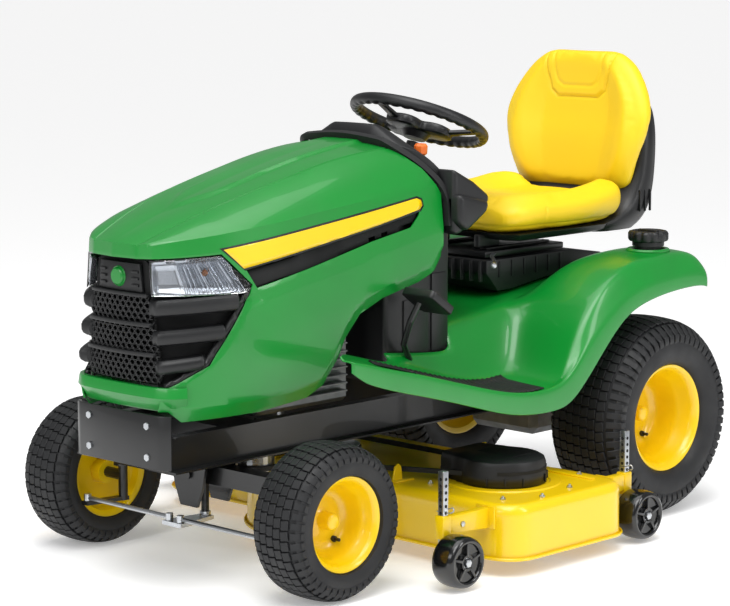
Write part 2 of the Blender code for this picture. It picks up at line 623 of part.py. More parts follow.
# ---- fender deck and foot controls ---------------------------------------------------------------------------
# Each station: Y, lip bottom, lip top, floor outer z, floor inner z, and the height of the middle.
FENDER_STATIONS = [
    (-0.585, 0.540, 0.560, 0.566, 0.566, 0.560),
    (-0.540, 0.508, 0.552, 0.560, 0.562, 0.556),
    (-0.350, 0.455, 0.505, 0.514, 0.516, 0.550),
    (-0.120, 0.390, 0.440, 0.446, 0.450, 0.548),
    (0.020, 0.356, 0.408, 0.414, 0.418, 0.560),
    (0.150, 0.350, 0.404, 0.410, 0.416, 0.575),
    (0.215, 0.357, 0.425, 0.440, 0.450, 0.585),
    (0.280, 0.410, 0.490, 0.540, 0.550, 0.592),
    (0.360, 0.495, 0.560, 0.640, 0.650, 0.602),
    (0.450, 0.572, 0.622, 0.690, 0.692, 0.615),
    (0.590, 0.605, 0.650, 0.706, 0.708, 0.632),
    (0.740, 0.614, 0.655, 0.706, 0.708, 0.640),
    (0.790, 0.604, 0.640, 0.680, 0.682, 0.630),
]
FENDER_MIDDLE_X = 0.185
FLOOR_INNER_X = 0.245


def fender_row(station):
    y, lip_bottom, lip_top, floor_out, floor_in, middle = station
    half = [
        (FENDER_HALF_WIDTH, lip_bottom),
        (FENDER_HALF_WIDTH - 0.004, lip_top),
        (FENDER_HALF_WIDTH - 0.030, floor_out),
        (0.5 * (FENDER_HALF_WIDTH + FLOOR_INNER_X), floor_out + 0.004),
        (FLOOR_INNER_X, floor_in),
        (FENDER_MIDDLE_X, middle),
    ]
    left = [Vector((x, y, z)) for x, z in half]
    return left + [Vector((-p.x, p.y, p.z)) for p in reversed(left)]


def floor_height(station, x):
    """Height of the footrest at one station, x metres from the centreline."""
    _, _, _, outer, inner, _ = station
    crown_x, edge_x = 0.5 * (FENDER_HALF_WIDTH + FLOOR_INNER_X), FENDER_HALF_WIDTH - 0.030
    if x > crown_x:
        return outer + 0.004 * (edge_x - x) / (edge_x - crown_x)
    return inner + (outer + 0.004 - inner) * (x - FLOOR_INNER_X) / (crown_x - FLOOR_INNER_X)


def build_fender(root, looks):
    bm = sheet([fender_row(s) for s in FENDER_STATIONS])
    if sum(face.normal.z for face in bm.faces) < 0:
        bmesh.ops.reverse_faces(bm, faces=bm.faces)
    fender = add("fender_deck", bm, looks["green"], root)
    thicken(fender, FENDER_SKIN)
    cut(fender, block((-0.272, -0.70, 0.30), (0.272, -0.235, 0.80)))
    cut(fender, block((-0.276, -0.30, 0.30), (0.276, -0.075, 0.80)))  # room for the pedal arms
    cut(fender, block((-0.236, -0.10, 0.30), (0.236, 0.042, 0.80)))
    neck = (FUEL_NECK.x, FUEL_NECK.y)
    cut(fender, rod((*neck, 0.60), (*neck, 0.80), FUEL_NECK_RADIUS + 0.006, 20))

    for side, word in ((1, "left"), (-1, "right")):
        rows = []
        for station in FENDER_STATIONS[2:6]:
            across = (0.290, 0.5 * (FENDER_HALF_WIDTH + FLOOR_INNER_X), FENDER_HALF_WIDTH - 0.036)
            rows.append([Vector((side * x, station[0], floor_height(station, x) + 0.0045)) for x in across])
        mat = sheet(rows)
        if sum(face.normal.z for face in mat.faces) < 0:
            bmesh.ops.reverse_faces(mat, faces=mat.faces)
        mat = add(f"footrest_mat_{word}", mat, looks["rubber"], root)
        thicken(mat, 0.003)


def build_pedals(root, looks):
    pivot = Vector((0.236, -0.130, 0.470))
    arm = swept([pivot, (0.262, -0.190, 0.540), (0.285, -0.190, 0.600), (0.305, -0.176, 0.652)], 0.0080, 8)
    brake = add("brake_pedal", arm, looks["black"], root, origin=pivot)
    pad = block((-0.052, -0.046, -0.009), (0.052, 0.046, 0.009), bevel=0.006)
    bmesh.ops.transform(pad, verts=pad.verts,
                        matrix=Matrix.Translation((0.326, -0.170, 0.652)) @ Matrix.Rotation(math.radians(-35), 4, "X"))
    join(brake, pad)
    for word, y in (("forward", -0.330), ("reverse", -0.190)):
        pivot = Vector((-0.236, y + 0.070, 0.470 if word == "reverse" else 0.500))
        top = Vector((-0.330, y, 0.560 if word == "reverse" else 0.600))
        pedal = add(f"{word}_pedal", swept([pivot, (-0.290, y + 0.030, pivot.z + 0.030), top], 0.0080, 8),
                    looks["black"], root, origin=pivot)
        pad = block((-0.045, -0.035, -0.007), (0.045, 0.035, 0.007), bevel=0.005)
        bmesh.ops.transform(pad, verts=pad.verts,
                            matrix=Matrix.Translation(top) @ Matrix.Rotation(math.radians(-25), 4, "X"))
        join(pedal, pad)

    pivot = Vector((-0.275, 0.330, 0.560))
    lever = add("lift_lever", swept([pivot, (-0.275, 0.300, 0.700), (-0.290, 0.270, 0.800)], 0.0075, 8),
                looks["frame"], root, origin=pivot)
    grip = [(0.0, 0.0), (0.014, 0.0), (0.018, 0.030), (0.016, 0.085), (0.0, 0.095)]
    join(lever, turned(grip, (-0.290, 0.271, 0.790), (0, -0.2, 0.98), steps=12, closed=False))
    cut(bpy.data.objects["fender_deck"], block((-0.288, 0.240, 0.530), (-0.262, 0.410, 0.720)))


# ---- seat ----------------------------------------------------------------------------------------------------
def rounded_ring(y, half_width, bottom, top, corner, dish=0.0):
    """A rounded rectangle across the seat at one Y, its top sagging by dish in the middle."""
    ring = []
    ring += [(x, z) for x, z in arc((half_width - corner, top - corner), corner, 0, 90, 3)]
    ring += [(half_width * 0.45, top - dish * 0.7), (0.0, top - dish), (-half_width * 0.45, top - dish * 0.7)]
    ring += [(x, z) for x, z in arc((-half_width + corner, top - corner), corner, 90, 180, 3)]
    ring += [(x, z) for x, z in arc((-half_width + corner, bottom + corner), corner, 180, 270, 3)]
    ring += [(x, z) for x, z in arc((half_width - corner, bottom + corner), corner, 270, 360, 3)]
    return [Vector((x, y, z)) for x, z in ring]


def build_seat(root, looks):
    mount = [
        (0.245, 0.700), (0.245, 0.655), (0.300, 0.6035), (0.360, 0.6060), (0.450, 0.6185), (0.590, 0.6355),
        (0.740, 0.6450), (0.740, 0.680), (0.600, 0.700),
    ]
    add("seat_mount", prism(mount, "X", -0.150, 0.150), looks["black"], root)
    carriage = add("seat_carriage", block((-0.130, 0.265, 0.7010), (0.130, 0.590, 0.7180)), looks["frame"], root,
                   origin=(0, 0.40, 0.7010), smooth=False)
    for side in (1, -1):
        x = side * 0.115
        join(carriage, block((x - 0.010, SEAT_PIVOT.y - 0.012, 0.710), (x + 0.010, SEAT_PIVOT.y + 0.012, 0.750)))
    join(carriage, rod((-0.124, SEAT_PIVOT.y, SEAT_PIVOT.z), (0.124, SEAT_PIVOT.y, SEAT_PIVOT.z), 0.006, 10))
    join(carriage, swept([(0.120, 0.300, 0.710), (0.190, 0.290, 0.700), (0.215, 0.250, 0.690), (0.225, 0.190, 0.700)],
                         0.0045, 8))

    half = SEAT_HALF_WIDTH
    pan_rings = [
        rounded_ring(0.330, half * 0.80, 0.7520, 0.7650, 0.006),
        rounded_ring(0.600, half * 0.86, 0.7350, 0.7650, 0.008),
        rounded_ring(0.780, half * 0.88, 0.7450, 0.7650, 0.008),
    ]
    shell = add("seat_shell", loft(pan_rings), looks["black"], carriage, origin=SEAT_PIVOT)
    back = [(0.775, 0.740), (0.840, 0.775), (0.868, 0.900), (0.905, 1.100), (0.885, 1.102), (0.842, 0.900), (0.815, 0.830), (0.755, 0.766)]
    join(shell, prism(back, "X", -half * 0.80, half * 0.80))
    for side in (1, -1):
        x = side * 0.090
        join(shell, block((x - 0.009, SEAT_PIVOT.y - 0.012, SEAT_PIVOT.z - 0.014), (x + 0.009, 0.360, 0.7600)))
        cut(shell, rod((x - 0.02, SEAT_PIVOT.y, SEAT_PIVOT.z), (x + 0.02, SEAT_PIVOT.y, SEAT_PIVOT.z),
                       0.006 + RUNNING_GAP, 12))

    floor = 0.7655
    cushion_rings = [
        rounded_ring(SEAT_FRONT, half * 0.66, floor + 0.018, 0.820, 0.022, 0.004),
        rounded_ring(SEAT_FRONT + 0.020, half * 0.84, floor, 0.850, 0.030, 0.006),
        rounded_ring(SEAT_FRONT + 0.080, half * 0.94, floor, 0.872, 0.036, 0.012),
        rounded_ring(0.480, half, floor, 0.868, 0.040, 0.028),
        rounded_ring(0.620, half * 0.98, floor, 0.880, 0.040, 0.048),
        rounded_ring(0.715, half * 0.92, floor, 0.890, 0.034, 0.062),
    ]
    add("seat_cushion", loft(cushion_rings), looks["seat"], shell, origin=SEAT_PIVOT)

    # rings across the backrest, bottom to top: height, half width, front face y, thickness, dish
    levels = [
        (0.905, half * 0.86, 0.735, 0.062, 0.022), (0.960, half * 0.97, 0.738, 0.078, 0.040),
        (1.050, half * 1.02, 0.752, 0.086, 0.046), (1.130, half * 0.92, 0.774, 0.082, 0.036),
        (1.200, half * 0.72, 0.796, 0.070, 0.018), (1.236, half * 0.50, 0.816, 0.044, 0.004),
    ]
    rings = []
    for z, width, front, thick, dish in levels:
        base = rounded_ring(0.0, width, -front - thick, -front, min(0.028, thick * 0.4), dish)
        rings.append([Vector((p.x, -p.z, z)) for p in base])
    add("seat_backrest", loft(rings), looks["seat"], shell, origin=SEAT_PIVOT)


# ---- mower deck ------------------------------------------------------------------------------------------------
def deck_outline():
    """Plan of the deck shell: a middle lobe in front and a lobe each side, round the three blades."""
    reach = BLADE_LENGTH / 2 + BLADE_TIP_GAP + DECK_SKIN
    front, rear, side = SPINDLE_Y - reach, SPINDLE_Y + reach, SPINDLE_X + reach
    corner = 0.075
    meet = math.degrees(math.asin((front - CENTRE_SPINDLE_Y) / reach))
    half = arc((0.0, CENTRE_SPINDLE_Y), reach, -90, meet, 6)
    half += arc((side - corner, front + corner), corner, -90, 0, 4)
    half += arc((side - corner, rear - corner), corner, 0, 90, 4)
    half += [(0.170, rear), (0.0, rear - 0.040)]
    return mirrored(half)


def belt_path(pulleys, steps=8):
    """Centreline of a belt round the outside of pulleys, given anticlockwise as (x, y, radius)."""
    points = []
    count = len(pulleys)
    leaving = []
    for i, (x, y, r) in enumerate(pulleys):
        nx, ny, nr = pulleys[(i + 1) % count]
        run = Vector((nx - x, ny - y))
        lean = math.asin((r - nr) / run.length)
        leaving.append(math.atan2(run.y, run.x) - math.pi / 2 + lean)
    for i, (x, y, r) in enumerate(pulleys):
        start, end = leaving[i - 1], leaving[i]
        while end < start:
            end += 2 * math.pi
        for k in range(steps + 1):
            t = start + (end - start) * k / steps
            points.append((Vector((x + r * math.cos(t), y + r * math.sin(t))), Vector((math.cos(t), math.sin(t)))))
    return points


def belt(name, pulleys, z, root, looks):
    """A flat-backed belt: an endless band round the pulleys."""
    half_t, half_w = BELT_THICKNESS / 2, BELT_WIDTH / 2
    bm = bmesh.new()
    rings = []
    for point, out in belt_path(pulleys):
        corners = ((-half_t, -half_w), (half_t, -half_w), (half_t, half_w), (-half_t, half_w))
        ring = [(point.x + out.x * u, point.y + out.y * u, z + v) for u, v in corners]
        rings.append([bm.verts.new(p) for p in ring])
    for first, second in zip(rings, rings[1:] + rings[:1]):
        for i in range(4):
            j = (i + 1) % 4
            bm.faces.new((first[i], first[j], second[j], second[i]))
    bmesh.ops.recalc_face_normals(bm, faces=bm.faces)
    return add(name, bm, looks["rubber"], root, smooth=False)


def pulley_profile(z, top):
    """Half section of a grooved pulley standing on its shaft, from the axis and back to it."""
    lip = BELT_WIDTH / 2 + 0.002
    return [
        (0.0, z - lip - 0.003), (PULLEY_RADIUS, z - lip - 0.003), (PULLEY_RADIUS, z - lip), (PULLEY_GROOVE_RADIUS, z - lip + 0.001),
        (PULLEY_GROOVE_RADIUS, z + lip - 0.001), (PULLEY_RADIUS, z + lip), (PULLEY_RADIUS, z + lip + 0.003), (0.0, top),
    ]


def build_blades(root, looks):
    places = (("left", SPINDLE_X, SPINDLE_Y), ("right", -SPINDLE_X, SPINDLE_Y), ("centre", 0.0, CENTRE_SPINDLE_Y))
    for word, x, y in places:
        low = DECK_BOTTOM + 0.010
        half = BLADE_LENGTH / 2
        bar = block((x - half, y - 0.030, low), (x + half, y + 0.030, low + 0.005))
        blade = add(f"blade_{word}", bar, looks["steel"], root, origin=(x, y, low), smooth=False)
        top = DECK_BELT_Z + 0.014
        join(blade, rod((x, y, low - 0.006), (x, y, top), SHAFT_RADIUS, 12))
        join(blade, turned(pulley_profile(DECK_BELT_Z, top), (x, y, 0), (0, 0, 1), steps=20, closed=False))
        if word == "centre":  # a second groove takes the belt from the engine
            upper = PTO_BELT_Z + 0.014
            join(blade, turned(pulley_profile(PTO_BELT_Z, upper), (x, y, 0), (0, 0, 1), steps=20, closed=False))
            join(blade, rod((x, y, top - 0.004), (x, y, upper), SHAFT_RADIUS, 12))


def gauge_hardware(side, y, forward):
    """Bracket, post and stub axle of one gauge wheel."""
    post_x = side * (GAUGE_X - GAUGE_WIDTH / 2 - 0.014)
    centre_z = GAUGE_RADIUS + GAUGE_CLEARANCE
    reach = BLADE_LENGTH / 2 + BLADE_TIP_GAP + DECK_SKIN
    wall_y = SPINDLE_Y - reach + 0.020 if forward else SPINDLE_Y + reach - 0.020
    ends = sorted((y, wall_y))
    half = 0.009
    return [
        block((post_x - 0.012, ends[0] - (0.014 if forward else 0.0), 0.120),
              (post_x + 0.012, ends[1] + (0.0 if forward else 0.014), 0.172)),
        block((post_x - half, y - half, centre_z - 0.014), (post_x + half, y + half, 0.285)),
        rod((post_x, y, centre_z), (side * (GAUGE_X + GAUGE_WIDTH / 2 - 0.006), y, centre_z), 0.0065, 10),
    ]


def build_deck(root, looks):
    outline = [Vector((x, y, DECK_BOTTOM)) for x, y in deck_outline()]
    bm = bmesh.new()
    base = bm.faces.new([bm.verts.new(p) for p in outline])
    wall = bmesh.ops.extrude_face_region(bm, geom=[base])
    bmesh.ops.translate(bm, verts=[v for v in wall["geom"] if isinstance(v, bmesh.types.BMVert)],
                        vec=(0, 0, DECK_TOP - DECK_BOTTOM - 0.015))
    top = [f for f in wall["geom"] if isinstance(f, bmesh.types.BMFace)]
    bmesh.ops.inset_region(bm, faces=top, thickness=0.016, depth=0.0, use_even_offset=True)
    bmesh.ops.translate(bm, verts=list({v for f in top for v in f.verts}), vec=(0, 0, 0.015))
    bmesh.ops.recalc_face_normals(bm, faces=bm.faces)
    bmesh.ops.delete(bm, geom=[f for f in bm.faces if all(abs(v.co.z - DECK_BOTTOM) < 1e-6 for v in f.verts)],
                     context="FACES_ONLY")
    deck = add("deck_shell", bm, looks["yellow"], root, origin=(0, 0, DECK_BOTTOM))
    thicken(deck, DECK_SKIN)
    side_wall = SPINDLE_X + BLADE_LENGTH / 2 + BLADE_TIP_GAP
    cut(deck, block((-side_wall - 0.05, -0.110, 0.030), (-side_wall + 0.03, 0.170, 0.145)))
    for x, y in ((SPINDLE_X, SPINDLE_Y), (-SPINDLE_X, SPINDLE_Y), (0.0, CENTRE_SPINDLE_Y)):
        cut(deck, rod((x, y, 0.15), (x, y, 0.20), SHAFT_RADIUS + 0.003, 16))
    for side in (1, -1):
        for y, forward in ((GAUGE_FRONT_Y, True), (GAUGE_REAR_Y, False)):
            join(deck, *gauge_hardware(side, y, forward))

    wrap = PULLEY_GROOVE_RADIUS + BELT_GAP + BELT_THICKNESS / 2
    belt("deck_belt", [(0.0, CENTRE_SPINDLE_Y, wrap), (SPINDLE_X, SPINDLE_Y, wrap), (-SPINDLE_X, SPINDLE_Y, wrap)],
         DECK_BELT_Z, root, looks)
    belt("pto_belt", [(0.0, PTO_Y, wrap), (0.0, CENTRE_SPINDLE_Y, wrap)], PTO_BELT_Z, root, looks)

    for side, word in ((1, "left"), (-1, "right")):
        centre = (side * SPINDLE_X, SPINDLE_Y, 0)
        low, wall_thickness, radius = DECK_TOP + FIT_GAP, 0.003, 0.112
        section = [
            (radius, low), (radius, 0.212), (radius - 0.012, 0.232), (0.060, 0.246), (0.0, 0.250),
            (0.0, 0.250 - wall_thickness), (0.058, 0.243), (radius - 0.014, 0.229), (radius - wall_thickness, 0.210),
            (radius - wall_thickness, low),
        ]
        # the profile is closed through the rim, so it is spun in two open halves that meet at the foot
        profile = list(reversed(section[:5])) + list(reversed(section[5:]))
        cover = turned(profile, centre, (0, 0, 1), steps=24, closed=False)
        cover = add(f"belt_cover_{word}", cover, looks["black"], root)
        near, far = side * (SPINDLE_X - radius - 0.01), side * (SPINDLE_X - 0.030)
        cut(cover, block((min(near, far), SPINDLE_Y - 0.125, low - 0.01), (max(near, far), SPINDLE_Y + 0.125, 0.222)))

    hinge = Vector((-side_wall - 0.016, 0.030, 0.166))
    plate = [
        (hinge.x + 0.004, hinge.z + 0.004), (-0.700, 0.164), (-0.785, 0.120), (-0.790, 0.075), (-0.786, 0.075),
        (-0.781, 0.118), (-0.698, 0.160), (hinge.x + 0.004, hinge.z - 0.001),
    ]
    chute = add("discharge_chute", prism(plate, "Y", -0.140, 0.200), looks["black"], root, origin=hinge)
    join(chute, rod((hinge.x, -0.140, hinge.z), (hinge.x, 0.200, hinge.z), 0.006, 10))

    for side, word in ((1, "left"), (-1, "right")):
        for y, place in ((GAUGE_FRONT_Y, "front"), (GAUGE_REAR_Y, "rear")):
            centre = Vector((side * GAUGE_X, y, GAUGE_RADIUS + GAUGE_CLEARANCE))
            half = GAUGE_WIDTH / 2
            bore = 0.0065 + RUNNING_GAP
            section = [
                (bore, -half), (GAUGE_RADIUS * 0.72, -half), (GAUGE_RADIUS * 0.94, -half * 0.55), (GAUGE_RADIUS, 0.0),
                (GAUGE_RADIUS * 0.94, half * 0.55), (GAUGE_RADIUS * 0.72, half), (bore, half),
            ]
            add(f"gauge_wheel_{place}_{word}", turned(section, centre, (side, 0, 0), steps=20), looks["black"], root,
                origin=centre)


# ---- assembly -----------------------------------------------------------------------------------------------------
def clear_scene():
    for obj in list(bpy.data.objects):
        bpy.data.objects.remove(obj)


def centre_on_footprint(root):
    """Moves the machine so that the middle of its plan is the origin."""
    bpy.context.view_layer.update()
    corners = [
        obj.matrix_world @ Vector(corner)
        for obj in bpy.data.objects
        if obj.type == "MESH" and not obj.hide_render
        for corner in obj.bound_box
    ]
    for k in (0, 1):
        values = [c[k] for c in corners]
        root.location[k] -= (min(values) + max(values)) / 2
    bpy.context.view_layer.update()


def main():
    clear_scene()
    looks = make_materials()
    root = bpy.data.objects.new("tractor", None)
    bpy.context.scene.collection.objects.link(root)
    build_frame(root, looks)
    build_power(root, looks)
    build_front_axle(root, looks)
    build_rear_wheels(root, looks)
    build_hood(root, looks)
    build_console(root, looks)
    build_fender(root, looks)
    build_pedals(root, looks)
    build_seat(root, looks)
    build_deck(root, looks)
    build_blades(root, looks)
    centre_on_footprint(root)


main()
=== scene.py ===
"""Looks of a lawn tractor: skins, treads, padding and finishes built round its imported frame.

The frame holds every body, joint and size. Each class below makes one sub-assembly in tractor coordinates
(X to the tractor's left, Y towards its rear, Z up, half-way between the axles on the ground) and the
Workshop moves each finished piece into the frame and fixes it to its body.
"""

from __future__ import annotations

import json
import logging
import math
from collections.abc import Callable, Iterable, Sequence
from dataclasses import dataclass, field
from enum import Enum

import bmesh
import bpy
from mathutils import Matrix, Vector

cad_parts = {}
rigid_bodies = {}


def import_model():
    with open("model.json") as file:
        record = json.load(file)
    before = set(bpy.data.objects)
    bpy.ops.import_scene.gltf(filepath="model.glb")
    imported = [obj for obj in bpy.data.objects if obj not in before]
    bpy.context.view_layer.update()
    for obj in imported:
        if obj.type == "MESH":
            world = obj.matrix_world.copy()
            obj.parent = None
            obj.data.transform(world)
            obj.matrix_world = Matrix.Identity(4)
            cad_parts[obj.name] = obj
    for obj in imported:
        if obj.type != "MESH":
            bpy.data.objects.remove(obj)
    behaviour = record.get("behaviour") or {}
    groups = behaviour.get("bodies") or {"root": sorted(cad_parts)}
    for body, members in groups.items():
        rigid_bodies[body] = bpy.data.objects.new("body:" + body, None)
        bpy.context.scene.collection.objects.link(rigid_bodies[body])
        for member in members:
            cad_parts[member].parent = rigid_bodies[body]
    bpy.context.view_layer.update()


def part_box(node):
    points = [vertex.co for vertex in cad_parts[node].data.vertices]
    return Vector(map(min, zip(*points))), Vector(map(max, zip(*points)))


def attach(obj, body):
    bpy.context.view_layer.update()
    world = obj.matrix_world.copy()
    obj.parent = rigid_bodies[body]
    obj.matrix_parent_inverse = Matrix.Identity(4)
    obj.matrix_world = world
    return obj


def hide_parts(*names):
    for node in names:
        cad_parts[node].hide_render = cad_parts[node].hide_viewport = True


LOG = logging.getLogger("lawn_tractor")
SIDES = ((1, "left"), (-1, "right"))
Point2 = tuple[float, float]
Point3 = tuple[float, float, float]


# ---- finishes --------------------------------------------------------------------------------------
def linear(colour: str) -> tuple[float, float, float, float]:
    """Turns an sRGB hex colour into the linear RGBA that a shader takes.

    Args:
        colour: six hex digits, with or without a leading hash.

    Returns:
        Linear red, green, blue and an alpha of one.
    """
    digits = colour.lstrip("#")
    parts = [int(digits[i : i + 2], 16) / 255 for i in (0, 2, 4)]
    return (*[p / 12.92 if p <= 0.04045 else ((p + 0.055) / 1.055) ** 2.4 for p in parts], 1.0)


def add_node(tree: bpy.types.NodeTree, kind: str, values: dict | None = None, links: dict | None = None, **settings: object) -> bpy.types.Node:
    """Adds a node to a tree, sets it and links its inputs.

    Args:
        tree: the material's tree.
        kind: the node's type name.
        values: input name or number to its constant value.
        links: input name or number to the output socket that feeds it.
        **settings: properties of the node itself.

    Returns:
        The new node.
    """
    node = tree.nodes.new(kind)
    for key, value in settings.items():
        setattr(node, key, value)
    for key, value in (values or {}).items():
        node.inputs[key].default_value = value
    for key, socket in (links or {}).items():
        tree.links.new(socket, node.inputs[key])
    return node


class Relief(Enum):
    """How a surface was made, which decides its fine relief."""

    SPRAYED = "orange peel of sprayed enamel"
    MOULDED = "spark-eroded grain of a plastics mould"
    CAST = "sand-cast pits"
    ROLLED = "fine scratches of rolled and plated steel"
    VULCANISED = "matt skin of cured rubber with mould flow"
    EMBOSSED = "leather grain rolled into vinyl"
    CLEAR = "polished and see-through"


@dataclass(frozen=True)
class Finish:
    """One real material and how its surface looks.

    Attributes:
        name: common name of the material, used for the Blender material.
        slot: the record's material slot; not used.
        colour: main colour as sRGB hex.
        shade: second colour that drifts through the main one, as sRGB hex.
        roughness: mean roughness.
        relief: how the surface was made.
        pitch_mm: size of the relief's grains in millimetres.
        depth_mm: height of the relief in millimetres.
        metallic: one for bare metal.
        coat: strength of a clear coat.
        drift_mm: size of the patches in which the two colours drift.
        transmission: one for clear plastic.
    """

    name: str
    slot: str
    colour: str
    shade: str
    roughness: float
    relief: Relief
    pitch_mm: float
    depth_mm: float
    metallic: float = 0.0
    coat: float = 0.0
    drift_mm: float = 180.0
    transmission: float = 0.0

    def material(self) -> bpy.types.Material:
        """The Blender material of this finish, made once."""
        made = bpy.data.materials.get(self.name)
        return made if made is not None else self._build()

    def _build(self) -> bpy.types.Material:
        """Builds the node tree: colour drift, roughness drift and relief on object coordinates."""
        made = bpy.data.materials.new(self.name)
        made.use_nodes = True
        tree = made.node_tree
        shader = tree.nodes["Principled BSDF"]
        shader.inputs["Metallic"].default_value = self.metallic
        shader.inputs["Coat Weight"].default_value = self.coat
        shader.inputs["Coat Roughness"].default_value = 0.04
        if self.transmission:
            shader.inputs["Transmission Weight"].default_value = self.transmission
            shader.inputs["IOR"].default_value = 1.49
            shader.inputs["Base Color"].default_value = linear(self.colour)
            shader.inputs["Roughness"].default_value = self.roughness
        where = add_node(tree, "ShaderNodeTexCoord").outputs["Object"]
        drift = add_node(tree, "ShaderNodeTexNoise", {"Scale": 1000 / self.drift_mm, "Detail": 3.0}, {"Vector": where})
        if not self.transmission:
            mix = add_node(tree, "ShaderNodeMix", {6: linear(self.colour), 7: linear(self.shade)}, {0: drift.outputs["Fac"]}, data_type="RGBA")
            tree.links.new(mix.outputs[2], shader.inputs["Base Color"])
            spread = add_node(
                tree, "ShaderNodeMapRange",
                {"From Min": 0.3, "From Max": 0.7, "To Min": self.roughness * 0.85, "To Max": min(1.0, self.roughness * 1.18)},
                {"Value": drift.outputs["Fac"]},
            )
            tree.links.new(spread.outputs[0], shader.inputs["Roughness"])
        height = self._height(tree, where)
        if height is not None:
            bump = add_node(tree, "ShaderNodeBump", {"Strength": 1.0, "Distance": self.depth_mm / 1000}, {"Height": height})
            tree.links.new(bump.outputs["Normal"], shader.inputs["Normal"])
        return made

    def _height(self, tree: bpy.types.NodeTree, where: bpy.types.NodeSocket) -> bpy.types.NodeSocket | None:
        """The relief's height output, at the real pitch.

        Args:
            tree: the material's tree.
            where: object coordinates.

        Returns:
            A height socket, or None where the surface is polished.
        """
        scale = 1000 / self.pitch_mm
        if self.relief is Relief.CLEAR:
            return None
        if self.relief in (Relief.EMBOSSED, Relief.MOULDED):
            cells = add_node(tree, "ShaderNodeTexVoronoi", {"Scale": scale, "Randomness": 1.0}, {"Vector": where}, feature="SMOOTH_F1")
            return cells.outputs["Distance"]
        if self.relief is Relief.ROLLED:
            stretched = add_node(tree, "ShaderNodeMapping", {"Scale": (1.0, 0.08, 1.0)}, {"Vector": where})
            return add_node(tree, "ShaderNodeTexNoise", {"Scale": scale, "Detail": 2.0}, {"Vector": stretched.outputs[0]}).outputs["Fac"]
        detail = {Relief.SPRAYED: 1.0, Relief.CAST: 5.0, Relief.VULCANISED: 6.0}[self.relief]
        return add_node(tree, "ShaderNodeTexNoise", {"Scale": scale, "Detail": detail}, {"Vector": where}).outputs["Fac"]


# Two-pack enamel on steel and moulded panels: deep green under a clear coat, so lamps draw sharp streaks on it.
GREEN = Finish("green_enamel_clear_coated", "green_enamel", "#008a2c", "#007724", 0.36, Relief.SPRAYED, 7.0, 0.012, coat=0.35)
# The same enamel in yellow, on pressed steel: warmer in its shade, glossy, with a faint orange peel.
YELLOW = Finish("yellow_enamel_on_steel", "yellow_enamel", "#f2cc00", "#edc300", 0.34, Relief.SPRAYED, 5.0, 0.015, coat=0.45)
# Calendered vinyl over foam: leather grain of about 2 mm, a soft broad sheen and no mirror streaks.
VINYL = Finish("yellow_vinyl_leather_grain", "yellow_vinyl", "#f3d018", "#eec710", 0.48, Relief.EMBOSSED, 2.2, 0.16)
# Polypropylene out of a grained mould: near black with a grey sheen where light grazes it.
PLASTIC = Finish("black_polypropylene_grained", "black_plastic", "#0c0d0f", "#121315", 0.44, Relief.MOULDED, 1.6, 0.06)
# Polished black ABS trim, such as the gauge wheels: dark and glossy.
GLOSS_BLACK = Finish("black_abs_polished", "black_plastic", "#0a0b0c", "#0f1011", 0.18, Relief.SPRAYED, 9.0, 0.01, coat=0.3)
# Powder-coated steel of the frame: black, semi-gloss and slightly pebbled.
FRAME_BLACK = Finish("black_powder_coat", "black_enamel", "#08090a", "#0d0e10", 0.38, Relief.SPRAYED, 2.5, 0.03, coat=0.2)
# Cured tyre rubber: very dark grey, matt, greyer where mould release has bloomed.
RUBBER = Finish("tyre_rubber_cured", "tyre_rubber", "#101113", "#17181b", 0.60, Relief.VULCANISED, 1.8, 0.12, drift_mm=60.0)
# Moulded rubber mat and belts: a little blacker and softer than the tyres.
MAT = Finish("mat_rubber_moulded", "mat_rubber", "#0a0b0c", "#111214", 0.62, Relief.MOULDED, 1.2, 0.08, drift_mm=50.0)
# Zinc-plated steel: pale, slightly blue, with rolling scratches along its length.
ZINC = Finish("zinc_plated_steel_rolled", "zinc_plated_steel", "#c9ccd0", "#aeb2b6", 0.30, Relief.ROLLED, 0.8, 0.02, metallic=1.0, drift_mm=25.0)
# Sand-cast aluminium of the engine and gearbox: dull grey with pits.
CAST = Finish("cast_aluminium_sand", "cast_aluminium", "#8d8f91", "#737577", 0.52, Relief.CAST, 1.5, 0.2, metallic=0.9, drift_mm=40.0)
# Polycarbonate lens: clear and polished.
LENS = Finish("clear_polycarbonate", "clear_lens", "#fbfdff", "#ffffff", 0.03, Relief.CLEAR, 5.0, 0.0, transmission=1.0)
# Aluminised reflector behind the lens: bright, a touch soft.
REFLECTOR = Finish("aluminised_reflector", "clear_lens", "#bcc0c6", "#a9adb4", 0.13, Relief.SPRAYED, 12.0, 0.01, metallic=0.9)
# Amber lamp glass in front of the bulb.
AMBER = Finish("amber_lamp_glass", "orange_plastic", "#a8642a", "#8a4a18", 0.12, Relief.SPRAYED, 8.0, 0.01, coat=0.6)
# Orange acetal of the throttle lever.
ORANGE = Finish("orange_acetal_moulded", "orange_plastic", "#f0792a", "#e86a1c", 0.36, Relief.MOULDED, 1.4, 0.03)
# Painted shade: flat, matt near-black that stands in for the shade of the open space behind meshes and inside slots,
# holes and vents; it takes no highlight.
SHADOW = Finish("painted_shade_black", "black_plastic", "#08090a", "#0c0d0e", 0.85, Relief.MOULDED, 2.0, 0.05)


